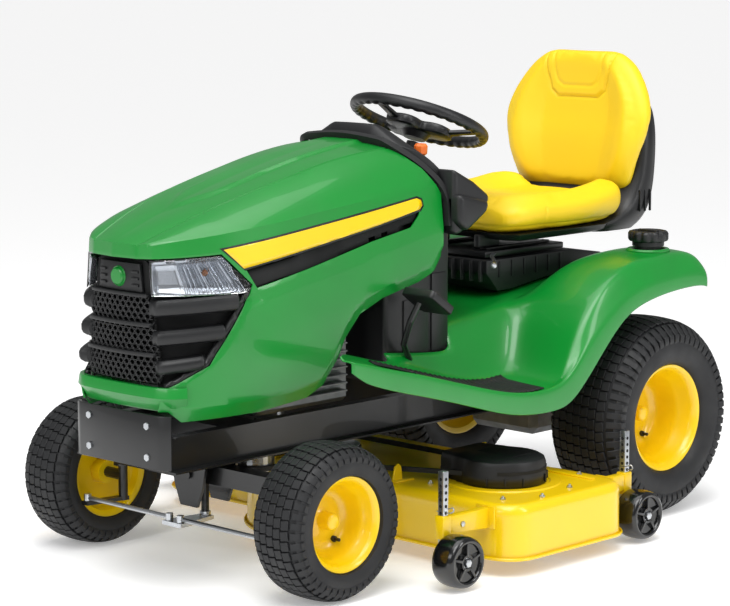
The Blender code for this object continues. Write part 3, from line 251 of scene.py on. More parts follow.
# ---- mesh tools: each returns a bmesh in tractor coordinates ----------------------------------------
def block(corner: Point3, opposite: Point3, bevel: float = 0.0, segments: int = 2) -> bmesh.types.BMesh:
    """A box between two corners with its edges rounded.

    Args:
        corner: one corner.
        opposite: the corner across from it.
        bevel: width of the rounding.
        segments: steps of the rounding.

    Returns:
        A closed solid.
    """
    low = Vector(min(pair) for pair in zip(corner, opposite))
    high = Vector(max(pair) for pair in zip(corner, opposite))
    bm = bmesh.new()
    place = Matrix.Translation((low + high) / 2) @ Matrix.Diagonal((*(high - low), 1.0))
    bmesh.ops.create_cube(bm, size=1.0, matrix=place)
    return rounded(bm, bevel, segments)


def rounded(bm: bmesh.types.BMesh, width: float, segments: int = 2, angle: float = 30.0) -> bmesh.types.BMesh:
    """Rounds every edge sharper than an angle, in degrees, and returns the same mesh."""
    if width > 0:
        sharp = [e for e in bm.edges if len(e.link_faces) == 2 and e.calc_face_angle(0.0) > math.radians(angle)]
        bmesh.ops.bevel(bm, geom=sharp, offset=width, segments=segments, affect="EDGES", profile=0.5, material=-1, clamp_overlap=True)
    return bm


def turn_to(axis: Sequence[float]) -> Matrix:
    """A rotation that takes +Z to the given direction."""
    return Vector((0, 0, 1)).rotation_difference(Vector(axis)).to_matrix().to_4x4()


def rod(start: Sequence[float], end: Sequence[float], radius: float, sides: int = 20, bevel: float = 0.0, tip: float | None = None) -> bmesh.types.BMesh:
    """A round bar from start to end, with an optional smaller tip radius and rounded ends."""
    a, b = Vector(start), Vector(end)
    bm = bmesh.new()
    place = Matrix.Translation((a + b) / 2) @ turn_to(b - a)
    bmesh.ops.create_cone(bm, cap_ends=True, segments=sides, radius1=radius, radius2=radius if tip is None else tip, depth=(b - a).length, matrix=place)
    return rounded(bm, bevel, 2, 50.0)


def turned(profile: Iterable[Point2], centre: Sequence[float], axis: Sequence[float], steps: int = 48, closed: bool = False) -> bmesh.types.BMesh:
    """Spins a profile of (radius, along) points about an axis through a centre.

    Args:
        profile: the section, open from axis to axis or a closed ring.
        centre: point on the axis where along is zero.
        axis: direction of the axis.
        steps: number of steps round.
        closed: whether the profile joins its own start.

    Returns:
        A closed solid of revolution.
    """
    bm = bmesh.new()
    verts = [bm.verts.new((r, 0.0, a)) for r, a in profile]
    pairs = list(zip(verts, verts[1:])) + ([(verts[-1], verts[0])] if closed else [])
    edges = [bm.edges.new(pair) for pair in pairs]
    bmesh.ops.spin(bm, geom=verts + edges, cent=(0, 0, 0), axis=(0, 0, 1), angle=2 * math.pi, steps=steps, use_merge=True)
    bmesh.ops.remove_doubles(bm, verts=bm.verts, dist=1e-6)
    bmesh.ops.transform(bm, matrix=Matrix.Translation(centre) @ turn_to(axis), verts=bm.verts)
    bmesh.ops.recalc_face_normals(bm, faces=bm.faces)
    return bm


def ring_loft(rings: Sequence[Sequence[Sequence[float]]], capped: bool = True) -> bmesh.types.BMesh:
    """Bridges closed rings of points, one after the other, and caps both ends."""
    bm = bmesh.new()
    loops = []
    for ring in rings:
        verts = [bm.verts.new(p) for p in ring]
        loops.append([bm.edges.new((a, b)) for a, b in zip(verts, verts[1:] + verts[:1])])
    for first, second in zip(loops, loops[1:]):
        bmesh.ops.bridge_loops(bm, edges=first + second)
    if capped:
        bmesh.ops.holes_fill(bm, edges=loops[0], sides=0)
        bmesh.ops.holes_fill(bm, edges=loops[-1], sides=0)
    bmesh.ops.recalc_face_normals(bm, faces=bm.faces)
    return bm


def prism(outline: Sequence[Point2], axis: str, start: float, end: float, bevel: float = 0.0, segments: int = 2) -> bmesh.types.BMesh:
    """Extrudes an outline along an axis; its two coordinates are the other two axes in X, Y, Z order."""
    k = "XYZ".index(axis)
    bm = bmesh.new()
    face = bm.faces.new([bm.verts.new([*point[:k], start, *point[k:]]) for point in outline])
    grown = bmesh.ops.extrude_face_region(bm, geom=[face])
    shift = Vector((0, 0, 0))
    shift[k] = end - start
    bmesh.ops.translate(bm, verts=[v for v in grown["geom"] if isinstance(v, bmesh.types.BMVert)], vec=shift)
    bmesh.ops.recalc_face_normals(bm, faces=bm.faces)
    return rounded(bm, bevel, segments)


def bent_bar(points: Sequence[Sequence[float]], radius: float, sides: int = 12, flat: float = 1.0) -> bmesh.types.BMesh:
    """A bar bent smoothly through points; flat below one squeezes its section across the bend."""
    path = smooth_path([Vector(p) for p in points], 6)
    rings = []
    for i, point in enumerate(path):
        along = path[min(i + 1, len(path) - 1)] - path[max(i - 1, 0)]
        place = Matrix.Translation(point) @ turn_to(along)
        ring = bmesh.new()
        bmesh.ops.create_circle(ring, segments=sides, radius=radius, matrix=place @ Matrix.Diagonal((1.0, flat, 1.0, 1.0)))
        rings.append([v.co.copy() for v in ring.verts])
        ring.free()
    return ring_loft(rings)


def smooth_path(points: Sequence[Vector], steps: int) -> list[Vector]:
    """Points of a Catmull-Rom curve through the given ones."""
    ends = [points[0] * 2 - points[1], *points, points[-1] * 2 - points[-2]]
    path = []
    for a, b, c, d in zip(ends, ends[1:], ends[2:], ends[3:]):
        for i in range(steps):
            t = i / steps
            path.append(0.5 * ((2 * b) + (c - a) * t + (2 * a - 5 * b + 4 * c - d) * t * t + (3 * b - a - 3 * c + d) * t**3))
    return [*path, points[-1]]


def joined(*shapes: bmesh.types.BMesh) -> bmesh.types.BMesh:
    """Puts several meshes into the first one and frees the others."""
    first, *others = shapes
    for other in others:
        carrier = bpy.data.meshes.new("carrier")
        other.to_mesh(carrier)
        other.free()
        first.from_mesh(carrier)
        bpy.data.meshes.remove(carrier)
    return first


def moved(bm: bmesh.types.BMesh, matrix: Matrix) -> bmesh.types.BMesh:
    """The same mesh after a transform; a mirroring one has its faces turned back outwards."""
    bmesh.ops.transform(bm, matrix=matrix, verts=bm.verts)
    if matrix.determinant() < 0:
        bmesh.ops.reverse_faces(bm, faces=bm.faces)
    return bm


def copies(bm: bmesh.types.BMesh, matrices: Iterable[Matrix]) -> bmesh.types.BMesh:
    """One mesh holding a copy of a shape under each matrix."""
    carrier = bpy.data.meshes.new("carrier")
    bm.to_mesh(carrier)
    bm.free()
    out = bmesh.new()
    for matrix in matrices:
        part = bmesh.new()
        part.from_mesh(carrier)
        moved(part, matrix)
        joined(out, part)
    bpy.data.meshes.remove(carrier)
    return out


def flipped(side: int) -> Matrix:
    """Identity for the left side and a mirror across the centreline for the right."""
    return Matrix.Diagonal((side, 1.0, 1.0, 1.0))


def inside(outline: Sequence[Point2], u: float, v: float) -> bool:
    """Whether a point lies in a closed outline."""
    hit = False
    for (a, b), (c, d) in zip(outline, [*outline[1:], outline[0]]):
        if (b > v) != (d > v) and u < (c - a) * (v - b) / (d - b) + a:
            hit = not hit
    return hit


def distance(outline: Sequence[Point2], u: float, v: float) -> float:
    """Distance from a point to the nearest edge of a closed outline."""
    best = 1e9
    for (a, b), (c, d) in zip(outline, [*outline[1:], outline[0]]):
        edge = Vector((c - a, d - b))
        t = max(0.0, min(1.0, (Vector((u - a, v - b)) @ edge) / max(edge.length_squared, 1e-12)))
        best = min(best, math.hypot(u - a - edge.x * t, v - b - edge.y * t))
    return best


def score(bm: bmesh.types.BMesh, outline: Sequence[Point2], closed: bool = True, reach: float = 0.03) -> None:
    """Cuts new edges into a skin where an outline, drawn in side view as (y, z), passes over it."""
    ends = [*outline[1:], outline[0]] if closed else outline[1:]
    for (a, b), (c, d) in zip(outline, ends):
        low, high = (min(a, c) - reach, min(b, d) - reach), (max(a, c) + reach, max(b, d) + reach)
        near = [f for f in bm.faces if low[0] < f.calc_center_median().y < high[0] and low[1] < f.calc_center_median().z < high[1]]
        geom = list({e for f in near for e in f.edges}) + list({v for f in near for v in f.verts}) + near
        if near:
            bmesh.ops.bisect_plane(bm, geom=geom, plane_co=(0, a, b), plane_no=(0, d - b, a - c), dist=1e-6)


def window(bm: bmesh.types.BMesh, keep: Callable[[Vector], bool], offset: float = 0.0) -> bmesh.types.BMesh:
    """A copy of the faces whose middle passes a test, pushed out along the skin's normals.

    Args:
        bm: the skin, which stays as it is.
        keep: says whether a face stays, from its middle point.
        offset: distance outwards, negative for inwards.

    Returns:
        An open sheet.
    """
    out = bm.copy()
    out.normal_update()
    bmesh.ops.delete(out, geom=[f for f in out.faces if not keep(f.calc_center_median())], context="FACES")
    for vert, shift in [(v, v.normal * offset) for v in out.verts]:
        vert.co += shift
    return out


def modifier(obj: bpy.types.Object, kind: str, **settings: object) -> bpy.types.Object:
    """Adds a modifier with its settings and returns the object."""
    made = obj.modifiers.new(kind.lower(), kind)
    for key, value in settings.items():
        setattr(made, key, value)
    return obj


def wall(obj: bpy.types.Object, thickness: float, round_by: float = 0.0) -> bpy.types.Object:
    """Gives a sheet its wall, inwards from the outer face, and rounds the wall's edges."""
    modifier(obj, "SOLIDIFY", thickness=thickness, offset=-1.0, use_even_offset=False)
    if round_by:
        modifier(obj, "BEVEL", width=round_by, segments=2, limit_method="ANGLE", angle_limit=math.radians(50))
    return obj


@dataclass
class Workshop:
    """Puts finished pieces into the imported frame.

    Attributes:
        origin: where the tractor's own origin lies in the frame, from the frame rails and the rims.
        made: names of the pieces so far.
    """

    origin: Vector = field(default_factory=lambda: Vector((0, 0, 0)))
    made: list[str] = field(default_factory=list)

    def find_origin(self) -> None:
        """Reads the tractor's centreline off the frame rails and its middle off the axles."""
        left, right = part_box("frame_rail_left"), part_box("frame_rail_right")
        front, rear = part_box("front_rim_left"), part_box("rear_rim_left")
        self.origin = Vector(((left[1].x + right[0].x) / 2, (front[0].y + front[1].y + rear[0].y + rear[1].y) / 4, 0.0))

    def piece(
        self, name: str, bm: bmesh.types.BMesh, finish: Finish, body: str, stands_for: Sequence[str] = (), smooth: float = 35.0
    ) -> bpy.types.Object:
        """Makes one finished piece, fixes it to its body and reports it.

        Args:
            name: the piece's own name.
            bm: its mesh in tractor coordinates, which is freed.
            finish: what it is made of.
            body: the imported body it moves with.
            stands_for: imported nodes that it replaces.
            smooth: edges sharper than this angle, in degrees, stay sharp.

        Returns:
            The object, with its place in its mesh.
        """
        bmesh.ops.translate(bm, vec=self.origin, verts=bm.verts)
        mesh = bpy.data.meshes.new(name)
        bm.to_mesh(mesh)
        bm.free()
        mesh.shade_smooth()
        mesh.set_sharp_from_angle(angle=math.radians(smooth))
        mesh.materials.append(finish.material())
        obj = bpy.data.objects.new(name, mesh)
        bpy.context.scene.collection.objects.link(obj)
        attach(obj, body)
        if stands_for:
            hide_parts(*stands_for)
        self.made.append(name)
        LOG.info("%s: %d faces in %s, on %s", name, len(mesh.polygons), finish.name, body)
        return obj

    def dress(self, finish: Finish, *nodes: str) -> None:
        """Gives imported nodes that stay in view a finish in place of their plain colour."""
        for node in nodes:
            obj = bpy.data.objects[node]
            for slot in obj.material_slots:
                slot.material = finish.material()
            if not obj.material_slots:
                obj.data.materials.append(finish.material())


# ---- hood ------------------------------------------------------------------------------------------
@dataclass
class Hood:
    """The hinged hood: a creased skin with a stripe and a slot along each side, grille and headlamps in its nose.

    Each feature line runs from the nose to the dash as stations of (y, x, z).
    """

    skin: float = 0.004
    ridge: tuple[Point3, ...] = (
        (-0.912, 0, 0.836), (-0.893, 0, 0.845), (-0.850, 0, 0.862), (-0.780, 0, 0.887), (-0.690, 0, 0.915), (-0.580, 0, 0.945),
        (-0.460, 0, 0.9755), (-0.340, 0, 1.002), (-0.225, 0, 1.022), (-0.125, 0, 1.033), (-0.030, 0, 1.040))
    crown_edge: tuple[Point3, ...] = (
        (-0.903, 0.078, 0.836), (-0.883, 0.084, 0.843), (-0.838, 0.093, 0.862), (-0.768, 0.107, 0.888), (-0.680, 0.121, 0.916),
        (-0.572, 0.130, 0.945), (-0.455, 0.136, 0.972), (-0.335, 0.140, 0.998), (-0.222, 0.146, 1.014), (-0.123, 0.150, 1.021),
        (-0.030, 0.152, 1.026))
    shoulder: tuple[Point3, ...] = (
        (-0.888, 0.113, 0.836), (-0.848, 0.150, 0.845), (-0.800, 0.180, 0.852), (-0.735, 0.205, 0.860), (-0.640, 0.222, 0.870),
        (-0.540, 0.232, 0.881), (-0.430, 0.238, 0.894), (-0.320, 0.241, 0.905), (-0.210, 0.241, 0.914), (-0.120, 0.239, 0.921),
        (-0.030, 0.236, 0.928))
    band_foot: tuple[Point3, ...] = (
        (-0.892, 0.120, 0.700), (-0.850, 0.160, 0.695), (-0.800, 0.194, 0.690), (-0.735, 0.221, 0.690), (-0.640, 0.239, 0.699),
        (-0.540, 0.249, 0.719), (-0.430, 0.255, 0.741), (-0.320, 0.258, 0.764), (-0.210, 0.258, 0.789), (-0.120, 0.256, 0.806),
        (-0.030, 0.253, 0.822))
    flank: tuple[Point3, ...] = (
        (-0.893, 0.142, 0.560), (-0.852, 0.172, 0.555), (-0.800, 0.199, 0.552), (-0.735, 0.224, 0.550), (-0.640, 0.243, 0.552),
        (-0.540, 0.253, 0.560), (-0.430, 0.259, 0.585), (-0.320, 0.261, 0.620), (-0.210, 0.260, 0.655), (-0.120, 0.258, 0.670),
        (-0.030, 0.255, 0.680))
    foot: tuple[Point3, ...] = (
        (-0.893, 0.150, 0.380), (-0.855, 0.178, 0.380), (-0.800, 0.198, 0.380), (-0.735, 0.214, 0.380), (-0.640, 0.230, 0.380),
        (-0.540, 0.240, 0.380), (-0.430, 0.246, 0.380), (-0.320, 0.248, 0.380), (-0.210, 0.247, 0.380), (-0.120, 0.245, 0.380),
        (-0.030, 0.242, 0.380))
    nose_band: tuple[Point3, ...] = (
        (-0.914, 0, 0.800), (-0.906, 0.078, 0.800), (-0.893, 0.108, 0.800), (-0.894, 0.118, 0.700), (-0.895, 0.140, 0.560),
        (-0.895, 0.148, 0.380))
    # side-view outlines, as (y, z)
    rear_cut: tuple[Point2, ...] = (
        (-0.98, 0.30), (-0.98, 0.446), (-0.878, 0.446), (-0.850, 0.420), (-0.650, 0.425), (-0.504, 0.442), (-0.455, 0.467),
        (-0.405, 0.532), (-0.383, 0.576), (-0.333, 0.630), (-0.253, 0.661), (-0.120, 0.688), (-0.062, 0.712), (-0.038, 0.745),
        (-0.030, 0.905), (-0.072, 0.968), (-0.140, 1.030), (-0.150, 1.30), (0.30, 1.30), (0.30, 0.30))
    grille_opening: tuple[Point2, ...] = (
        (-1.0, 0.500), (-0.880, 0.502), (-0.790, 0.552), (-0.690, 0.700), (-0.676, 0.735), (-0.752, 0.812), (-0.86, 0.806), (-1.0, 0.800))
    grille_rim: tuple[Point2, ...] = (
        (-0.886, 0.5035), (-0.880, 0.502), (-0.790, 0.552), (-0.690, 0.700), (-0.677, 0.730), (-0.692, 0.728), (-0.704, 0.704), (-0.800, 0.561), (-0.884, 0.513))
    flank_panel: tuple[Point2, ...] = (
        (-0.900, 0.487), (-0.817, 0.528), (-0.763, 0.570), (-0.691, 0.676), (-0.657, 0.698), (-0.464, 0.736), (-0.303, 0.768),
        (-0.262, 0.749), (-0.201, 0.750), (-0.128, 0.772), (-0.055, 0.795), (-0.055, 0.760), (-0.085, 0.722), (-0.260, 0.690),
        (-0.350, 0.658), (-0.400, 0.600), (-0.435, 0.530), (-0.470, 0.486), (-0.542, 0.466), (-0.661, 0.458), (-0.840, 0.452),
        (-0.890, 0.470))
    stripe: tuple[Point2, ...] = (
        (-0.746, 0.822), (-0.617, 0.8375), (-0.456, 0.858), (-0.293, 0.878), (-0.124, 0.899), (-0.108, 0.893), (-0.106, 0.880),
        (-0.116, 0.871), (-0.262, 0.845), (-0.420, 0.820), (-0.572, 0.795), (-0.697, 0.7745))
    stripe_edge: tuple[Point2, ...] = (
        (-0.756, 0.8255), (-0.617, 0.8425), (-0.456, 0.863), (-0.293, 0.883), (-0.122, 0.904), (-0.103, 0.897), (-0.100, 0.878),
        (-0.112, 0.866), (-0.262, 0.840), (-0.420, 0.815), (-0.572, 0.790), (-0.694, 0.7695))
    slot: tuple[Point2, ...] = (
        (-0.690, 0.770), (-0.572, 0.790), (-0.420, 0.815), (-0.262, 0.840), (-0.116, 0.865), (-0.122, 0.855), (-0.153, 0.829),
        (-0.293, 0.806), (-0.509, 0.758), (-0.664, 0.726))

    def station(self, line: Sequence[Point3], t: float) -> Vector:
        """Point of a feature line at a running station number, smoothed between stations."""
        i = min(int(t), len(line) - 2)
        four = [Vector((x, y, z)) for y, x, z in (line[max(i - 1, 0)], line[i], line[i + 1], line[min(i + 2, len(line) - 1)])]
        if i == 0:
            four[0] = four[1] * 2 - four[2]
        if i == len(line) - 2:
            four[3] = four[2] * 2 - four[1]
        u = t - i
        a, b, c, d = four
        return 0.5 * ((2 * b) + (c - a) * u + (2 * a - 5 * b + 4 * c - d) * u * u + (3 * b - a - 3 * c + d) * u**3)

    def half_row(self, lines: Sequence[Vector], crown: float) -> list[Vector]:
        """Points across half the hood through six feature points, the top panels crowned a little."""
        counts = (18, 8, 9, 9, 9)
        row = []
        for k, (first, second, count) in enumerate(zip(lines, lines[1:], counts)):
            beside = 0.0035 / max((second - first).length, 0.01)
            shares = [i / count for i in range(count)]
            if k == 0:
                shares.append(1 - beside)
            if k == 1:
                shares.insert(1, beside)
            for t in shares:
                point = first.lerp(second, t)
                swell = 4 * t * (1 - t) * crown
                if k == 0:
                    point += Vector((0, 0, swell * 0.35))
                if k == 1 and t == 0:
                    point -= Vector((0.001, 0, 0.0035))
                if k == 1:
                    point += Vector((0.55, 0, 0.83)) * swell
                if k == 3:
                    point += Vector((1, 0, 0)) * swell * 0.2
                row.append(point)
        return [*row, lines[-1]]

    def half_skin(self) -> bmesh.types.BMesh:
        """The left half of the outer skin, scored along every opening, stripe and crease."""
        rows = []
        steps = 5
        order = (self.ridge, self.crown_edge, self.shoulder, self.band_foot, self.flank, self.foot)
        nose = [Vector((x, y, z)) for y, x, z in self.nose_band]
        first = self.half_row([self.station(line, 0) for line in order], 0.004)
        lip = self.half_row(nose, 0.0)
        for t in (0.0, 0.35, 0.7):
            rows.append([a.lerp(b, t) for a, b in zip(lip, first)])
        last = len(self.ridge) - 1
        for i in range(last * steps + 1):
            t = i / steps
            rows.append(self.half_row([self.station(line, t) for line in order], 0.004 + 0.007 * min(1.0, t / 3)))
        bm = bmesh.new()
        grid = bmesh.ops.create_grid(bm, x_segments=len(rows) - 1, y_segments=len(rows[0]) - 1, size=0.5)
        bm.verts.ensure_lookup_table()
        wide = len(rows)
        for index, vert in enumerate(grid["verts"]):
            vert.co = rows[index % wide][index // wide]
        for outline in (self.rear_cut, self.grille_opening, self.grille_rim, self.flank_panel, self.stripe_edge, self.stripe, self.slot):
            score(bm, outline)
        bmesh.ops.recalc_face_normals(bm, faces=bm.faces)
        if sum(f.normal.x for f in bm.faces) < 0:
            bmesh.ops.reverse_faces(bm, faces=bm.faces)
        self.press(bm)
        return bm

    def press(self, bm: bmesh.types.BMesh) -> None:
        """Presses the raised centre bulge of the top and the bevelled border of the flank into the skin."""
        for vert in bm.verts:
            x, y, z = vert.co
            wide = max(0.0, min(1.0, (y + 0.745) / 0.11)) * 0.058 + max(0.0, min(0.012, (y + 0.30) * 0.05))
            if y > -0.75 and z > 0.9 and x < 0.11:
                vert.co.z += 0.0065 * smoothstep((wide - x) / 0.010 + 0.5) * min(1.0, (y + 0.75) / 0.05)
            middle = sum(p[1] for p in self.flank_panel if abs(p[0] - y) < 0.09) / max(1, sum(abs(p[0] - y) < 0.09 for p in self.flank_panel))
            if x > 0.12 and (z < middle or y < -0.64 and z < 0.70) and not inside(self.flank_panel, y, z):
                vert.co.x -= min(0.42 * distance(self.flank_panel, y, z), 0.012)

    def row_at(self, y: float) -> float:
        """Station number of the band's foot at a given y."""
        for i, (a, b) in enumerate(zip(self.band_foot, self.band_foot[1:])):
            if y < b[0]:
                return max(0.0, i + (y - a[0]) / (b[0] - a[0]))
        return float(len(self.band_foot) - 1)

    def whole(self, half: bmesh.types.BMesh) -> bmesh.types.BMesh:
        """Completes a left half with its mirror image and closes the seam on the centreline."""
        geom = half.verts[:] + half.edges[:] + half.faces[:]
        bmesh.ops.mirror(half, geom=geom, axis="X", merge_dist=2e-4)
        bmesh.ops.remove_doubles(half, verts=half.verts, dist=1e-4)
        bmesh.ops.recalc_face_normals(half, faces=half.faces)
        if sum(f.normal.z * f.calc_area() for f in half.faces) < 0:
            bmesh.ops.reverse_faces(half, faces=half.faces)
        return half

    def build(self, shop: Workshop) -> None:
        """Builds the painted skin, its slots, stripes, nose lip and everything set into the nose."""
        skin = self.half_skin()

        def painted(p: Vector) -> bool:
            return not (inside(self.rear_cut, p.y, p.z) or (inside(self.grille_opening, p.y, p.z)) or (p.x > 0.15 and inside(self.slot, p.y, p.z)))

        shell = self.whole(window(skin, painted))
        wall(shop.piece("hood_skin", shell, GREEN, "hood", ("hood_shell",), smooth=24), self.skin, 0.0012)

        # Painted shade: a near-black sheet set 9 mm in under each side slot stands in for the shade inside the slot.
        slot = self.whole(window(skin, lambda p: p.x > 0.15 and inside(self.grown(self.slot, 0.006), p.y, p.z), -0.009))
        wall(shop.piece("hood_slots", slot, SHADOW, "hood"), 0.002)
        edge = window(skin, lambda p: p.x > 0.15 and inside(self.stripe_edge, p.y, p.z), 0.0006)
        wall(shop.piece("stripe_borders", self.whole(edge), PLASTIC, "hood"), 0.0005)
        stripe = window(skin, lambda p: p.x > 0.15 and inside(self.stripe, p.y, p.z), 0.0012)
        wall(shop.piece("side_stripes", self.whole(stripe), YELLOW, "hood"), 0.0005)
        self.build_lip(shop)
        Grille().build(shop, self, skin)
        Headlamps().build(shop, self, skin)
        skin.free()

    def grown(self, outline: Sequence[Point2], by: float) -> list[Point2]:
        """An outline pushed away from its middle, more across than along."""
        middle = Vector((sum(p[0] for p in outline), sum(p[1] for p in outline))) / len(outline)
        return [tuple(Vector(p) + (Vector(p) - middle).normalized() * by + Vector((0, math.copysign(by, p[1] - middle.y)))) for p in outline]

    def build_lip(self, shop: Workshop) -> None:
        """The green lip under the grille, wrapped round the nose, with a slanted lower face."""
        plan = smooth_path([Vector(p) for p in (
            (-0.186, -0.848, 0), (-0.172, -0.872, 0), (-0.150, -0.890, 0), (-0.110, -0.902, 0), (0.0, -0.907, 0), (0.110, -0.902, 0),
            (0.150, -0.890, 0), (0.172, -0.872, 0), (0.186, -0.848, 0))], 6)
        section = ((-0.014, 0.5035), (-0.002, 0.5035), (0.0, 0.499), (0.003, 0.479), (-0.001, 0.474), (-0.014, 0.449), (-0.017, 0.446), (-0.024, 0.448))
        rings = []
        for i, p in enumerate(plan):
            along = (plan[min(i + 1, len(plan) - 1)] - plan[max(i - 1, 0)]).normalized()
            out = Vector((along.y, -along.x, 0))
            rings.append([p + out * (u + 0.002) + Vector((0, 0, z)) for u, z in section])
        shop.piece("nose_lip", ring_loft(rings), GREEN, "hood", smooth=30)


def smoothstep(t: float) -> float:
    """Eases zero to one."""
    t = max(0.0, min(1.0, t))
    return t * t * (3 - 2 * t)


@dataclass
class Grille:
    """The black grille: a framed honeycomb in the middle, three swept fins each side and a blank round boss."""

    top: tuple[float, float, float] = (0.093, -0.892, 0.792)
    bottom: tuple[float, float, float] = (0.135, -0.880, 0.508)
    cell: float = 0.0135
    fin_heights: tuple[float, ...] = (0.694, 0.624, 0.556)
    fin_depth: float = 0.040

    def edge_x(self, z: float) -> float:
        """Half width of the honeycomb's frame at a height."""
        t = (z - self.bottom[2]) / (self.top[2] - self.bottom[2])
        return self.bottom[0] + (self.top[0] - self.bottom[0]) * t

    def front_y(self, z: float) -> float:
        """Front face of the frame at a height: the nose leans back a little towards its foot."""
        return -0.912 + 0.006 * abs(z - 0.70) / 0.2

    def frame_outline(self) -> list[Point2]:
        """Outline of the centre frame as (x, z): top corners close, bottom corners wide."""
        half = [(0.0, 0.797), (0.082, 0.797), (0.092, 0.786), (0.112, 0.650), (0.134, 0.532), (0.126, 0.510), (0.108, 0.505), (0.0, 0.505)]
        return half + [(-x, z) for x, z in reversed(half[1:-1])]

    def build(self, shop: Workshop, hood: Hood, skin: bmesh.types.BMesh) -> None:
        """Builds the painted-shade sheet behind the opening, the side rims, the frame and its honeycomb, the ribs, the
        boss and the fins.
        """
        opening = hood.grille_opening
        lamp_low = 0.716
        # Painted shade: a near-black sheet set 26 mm back in the grille opening stands in for the shade of the space
        # behind the grille.
        shade_sheet = hood.whole(window(skin, lambda p: inside(opening, p.y, p.z) and p.z < lamp_low + 0.02, -0.026))
        wall(shop.piece("grille_shade_sheet", shade_sheet, SHADOW, "hood", ("front_grille",)), 0.003)
        rim = hood.whole(window(skin, lambda p: inside(hood.grille_rim, p.y, p.z), -0.0025))
        wall(shop.piece("grille_side_rims", rim, FRAME_BLACK, "hood"), 0.014)
        # Painted shade: a near-black plate just behind the honeycomb stands in for the shade seen through its open
        # cells.
        plate = prism([(x * 0.99, z) for x, z in self.frame_outline()], "Y", -0.878, -0.874)
        shop.piece("honeycomb_shade_sheet", plate, SHADOW, "hood")
        self.build_frame(shop)
        self.build_honeycomb(shop)
        fins = bmesh.new()
        for height in self.fin_heights:
            for side, _ in SIDES:
                joined(fins, moved(self.fin(hood, height), flipped(side)))
        shop.piece("grille_fins", fins, PLASTIC, "hood", smooth=30)

    def build_frame(self, shop: Workshop) -> None:
        """The rim round the honeycomb, two cross ribs and the recessed panel with its blank boss."""
        outer = self.frame_outline()
        bm = bmesh.new()
        face = bm.faces.new([bm.verts.new((x, -0.902, z)) for x, z in outer])
        hole = bmesh.ops.inset_region(bm, faces=[face], thickness=0.009, use_even_offset=True)
        bmesh.ops.delete(bm, geom=[face], context="FACES_ONLY")
        grown = bmesh.ops.solidify(bm, geom=bm.faces[:], thickness=0.020)
        del hole, grown
        bmesh.ops.recalc_face_normals(bm, faces=bm.faces)
        for vert in bm.verts:
            vert.co.y += self.curve(vert.co.x)
        shapes = [rounded(bm, 0.0018, 2, 40)]
        for z in (0.648, 0.578):
            wide = self.edge_x(z) - 0.006
            shapes.append(self.bowed(block((-wide, -0.906, z - 0.005), (wide, -0.890, z + 0.005), 0.0018)))
        wide = self.edge_x(0.72) - 0.004
        shapes.append(self.bowed(block((-wide, -0.904, 0.7125), (wide, -0.886, 0.721), 0.0018)))
        shapes.append(self.bowed(prism([(-0.078, 0.722), (0.078, 0.722), (0.070, 0.790), (-0.070, 0.790)], "Y", -0.894, -0.884, 0.002)))
        for side in (1, -1):
            for z in (0.738, 0.754, 0.770):
                shapes.append(self.bowed(block((side * 0.046, -0.898, z - 0.003), (side * 0.068, -0.892, z + 0.003), 0.001)))
        shop.piece("grille_frame", joined(*shapes), PLASTIC, "hood", smooth=30)
        boss = turned([(0.0, 0.010), (0.017, 0.0095), (0.020, 0.007), (0.0215, 0.002), (0.0235, 0.0025), (0.025, 0.0), (0.0, 0.0)], (0, -0.894, 0.756), (0, -1, 0), 40)
        shop.piece("blank_boss", boss, GREEN, "hood")

    def curve(self, x: float) -> float:
        """How far the nose falls back at x."""
        return 0.9 * x * x

    def bowed(self, bm: bmesh.types.BMesh) -> bmesh.types.BMesh:
        """Bends a straight piece to the nose's plan curve."""
        bmesh.ops.subdivide_edges(bm, edges=[e for e in bm.edges if abs(e.verts[0].co.x - e.verts[1].co.x) > 0.05], cuts=7)
        for vert in bm.verts:
            vert.co.y += self.curve(vert.co.x)
        return bm

    def build_honeycomb(self, shop: Workshop) -> None:
        """Flattened hexagonal cells between the ribs, moulded in one piece with open holes."""
        bm = bmesh.new()
        wide, high = 0.0195, 0.0225
        z = 0.518
        row = 0
        while z < 0.712:
            x = -0.14 + (wide / 2 if row % 2 else 0.0)
            while x < 0.14:
                if abs(x) < self.edge_x(z) - 0.006 + wide * 0.3 and all(abs(z - rib) > 0.002 for rib in (0.648, 0.578)):
                    place = Matrix.Translation((x, -0.897, z)) @ Matrix.Diagonal((1.0, 1.0, 0.74, 1.0)) @ Matrix.Rotation(math.pi / 2, 4, "X") @ Matrix.Rotation(math.pi / 6, 4, "Z")
                    bmesh.ops.create_circle(bm, cap_ends=True, segments=6, radius=wide / math.sqrt(3), matrix=place)
                x += wide
            z += high * 0.74 * 0.75
            row += 1
        holes = bm.faces[:]
        bmesh.ops.inset_individual(bm, faces=holes, thickness=0.0019, use_even_offset=True)
        bmesh.ops.delete(bm, geom=holes, context="FACES_ONLY")
        bmesh.ops.remove_doubles(bm, verts=bm.verts, dist=3e-4)
        edge = self.frame_outline()
        bmesh.ops.delete(bm, geom=[f for f in bm.faces if not inside(edge, f.calc_center_median().x, f.calc_center_median().z)], context="FACES")
        bmesh.ops.recalc_face_normals(bm, faces=bm.faces)
        if sum(f.normal.y for f in bm.faces) > 0:
            bmesh.ops.reverse_faces(bm, faces=bm.faces)
        for vert in bm.verts:
            vert.co.y += self.curve(vert.co.x)
        wall(shop.piece("honeycomb", bm, PLASTIC, "hood", smooth=20), 0.010)

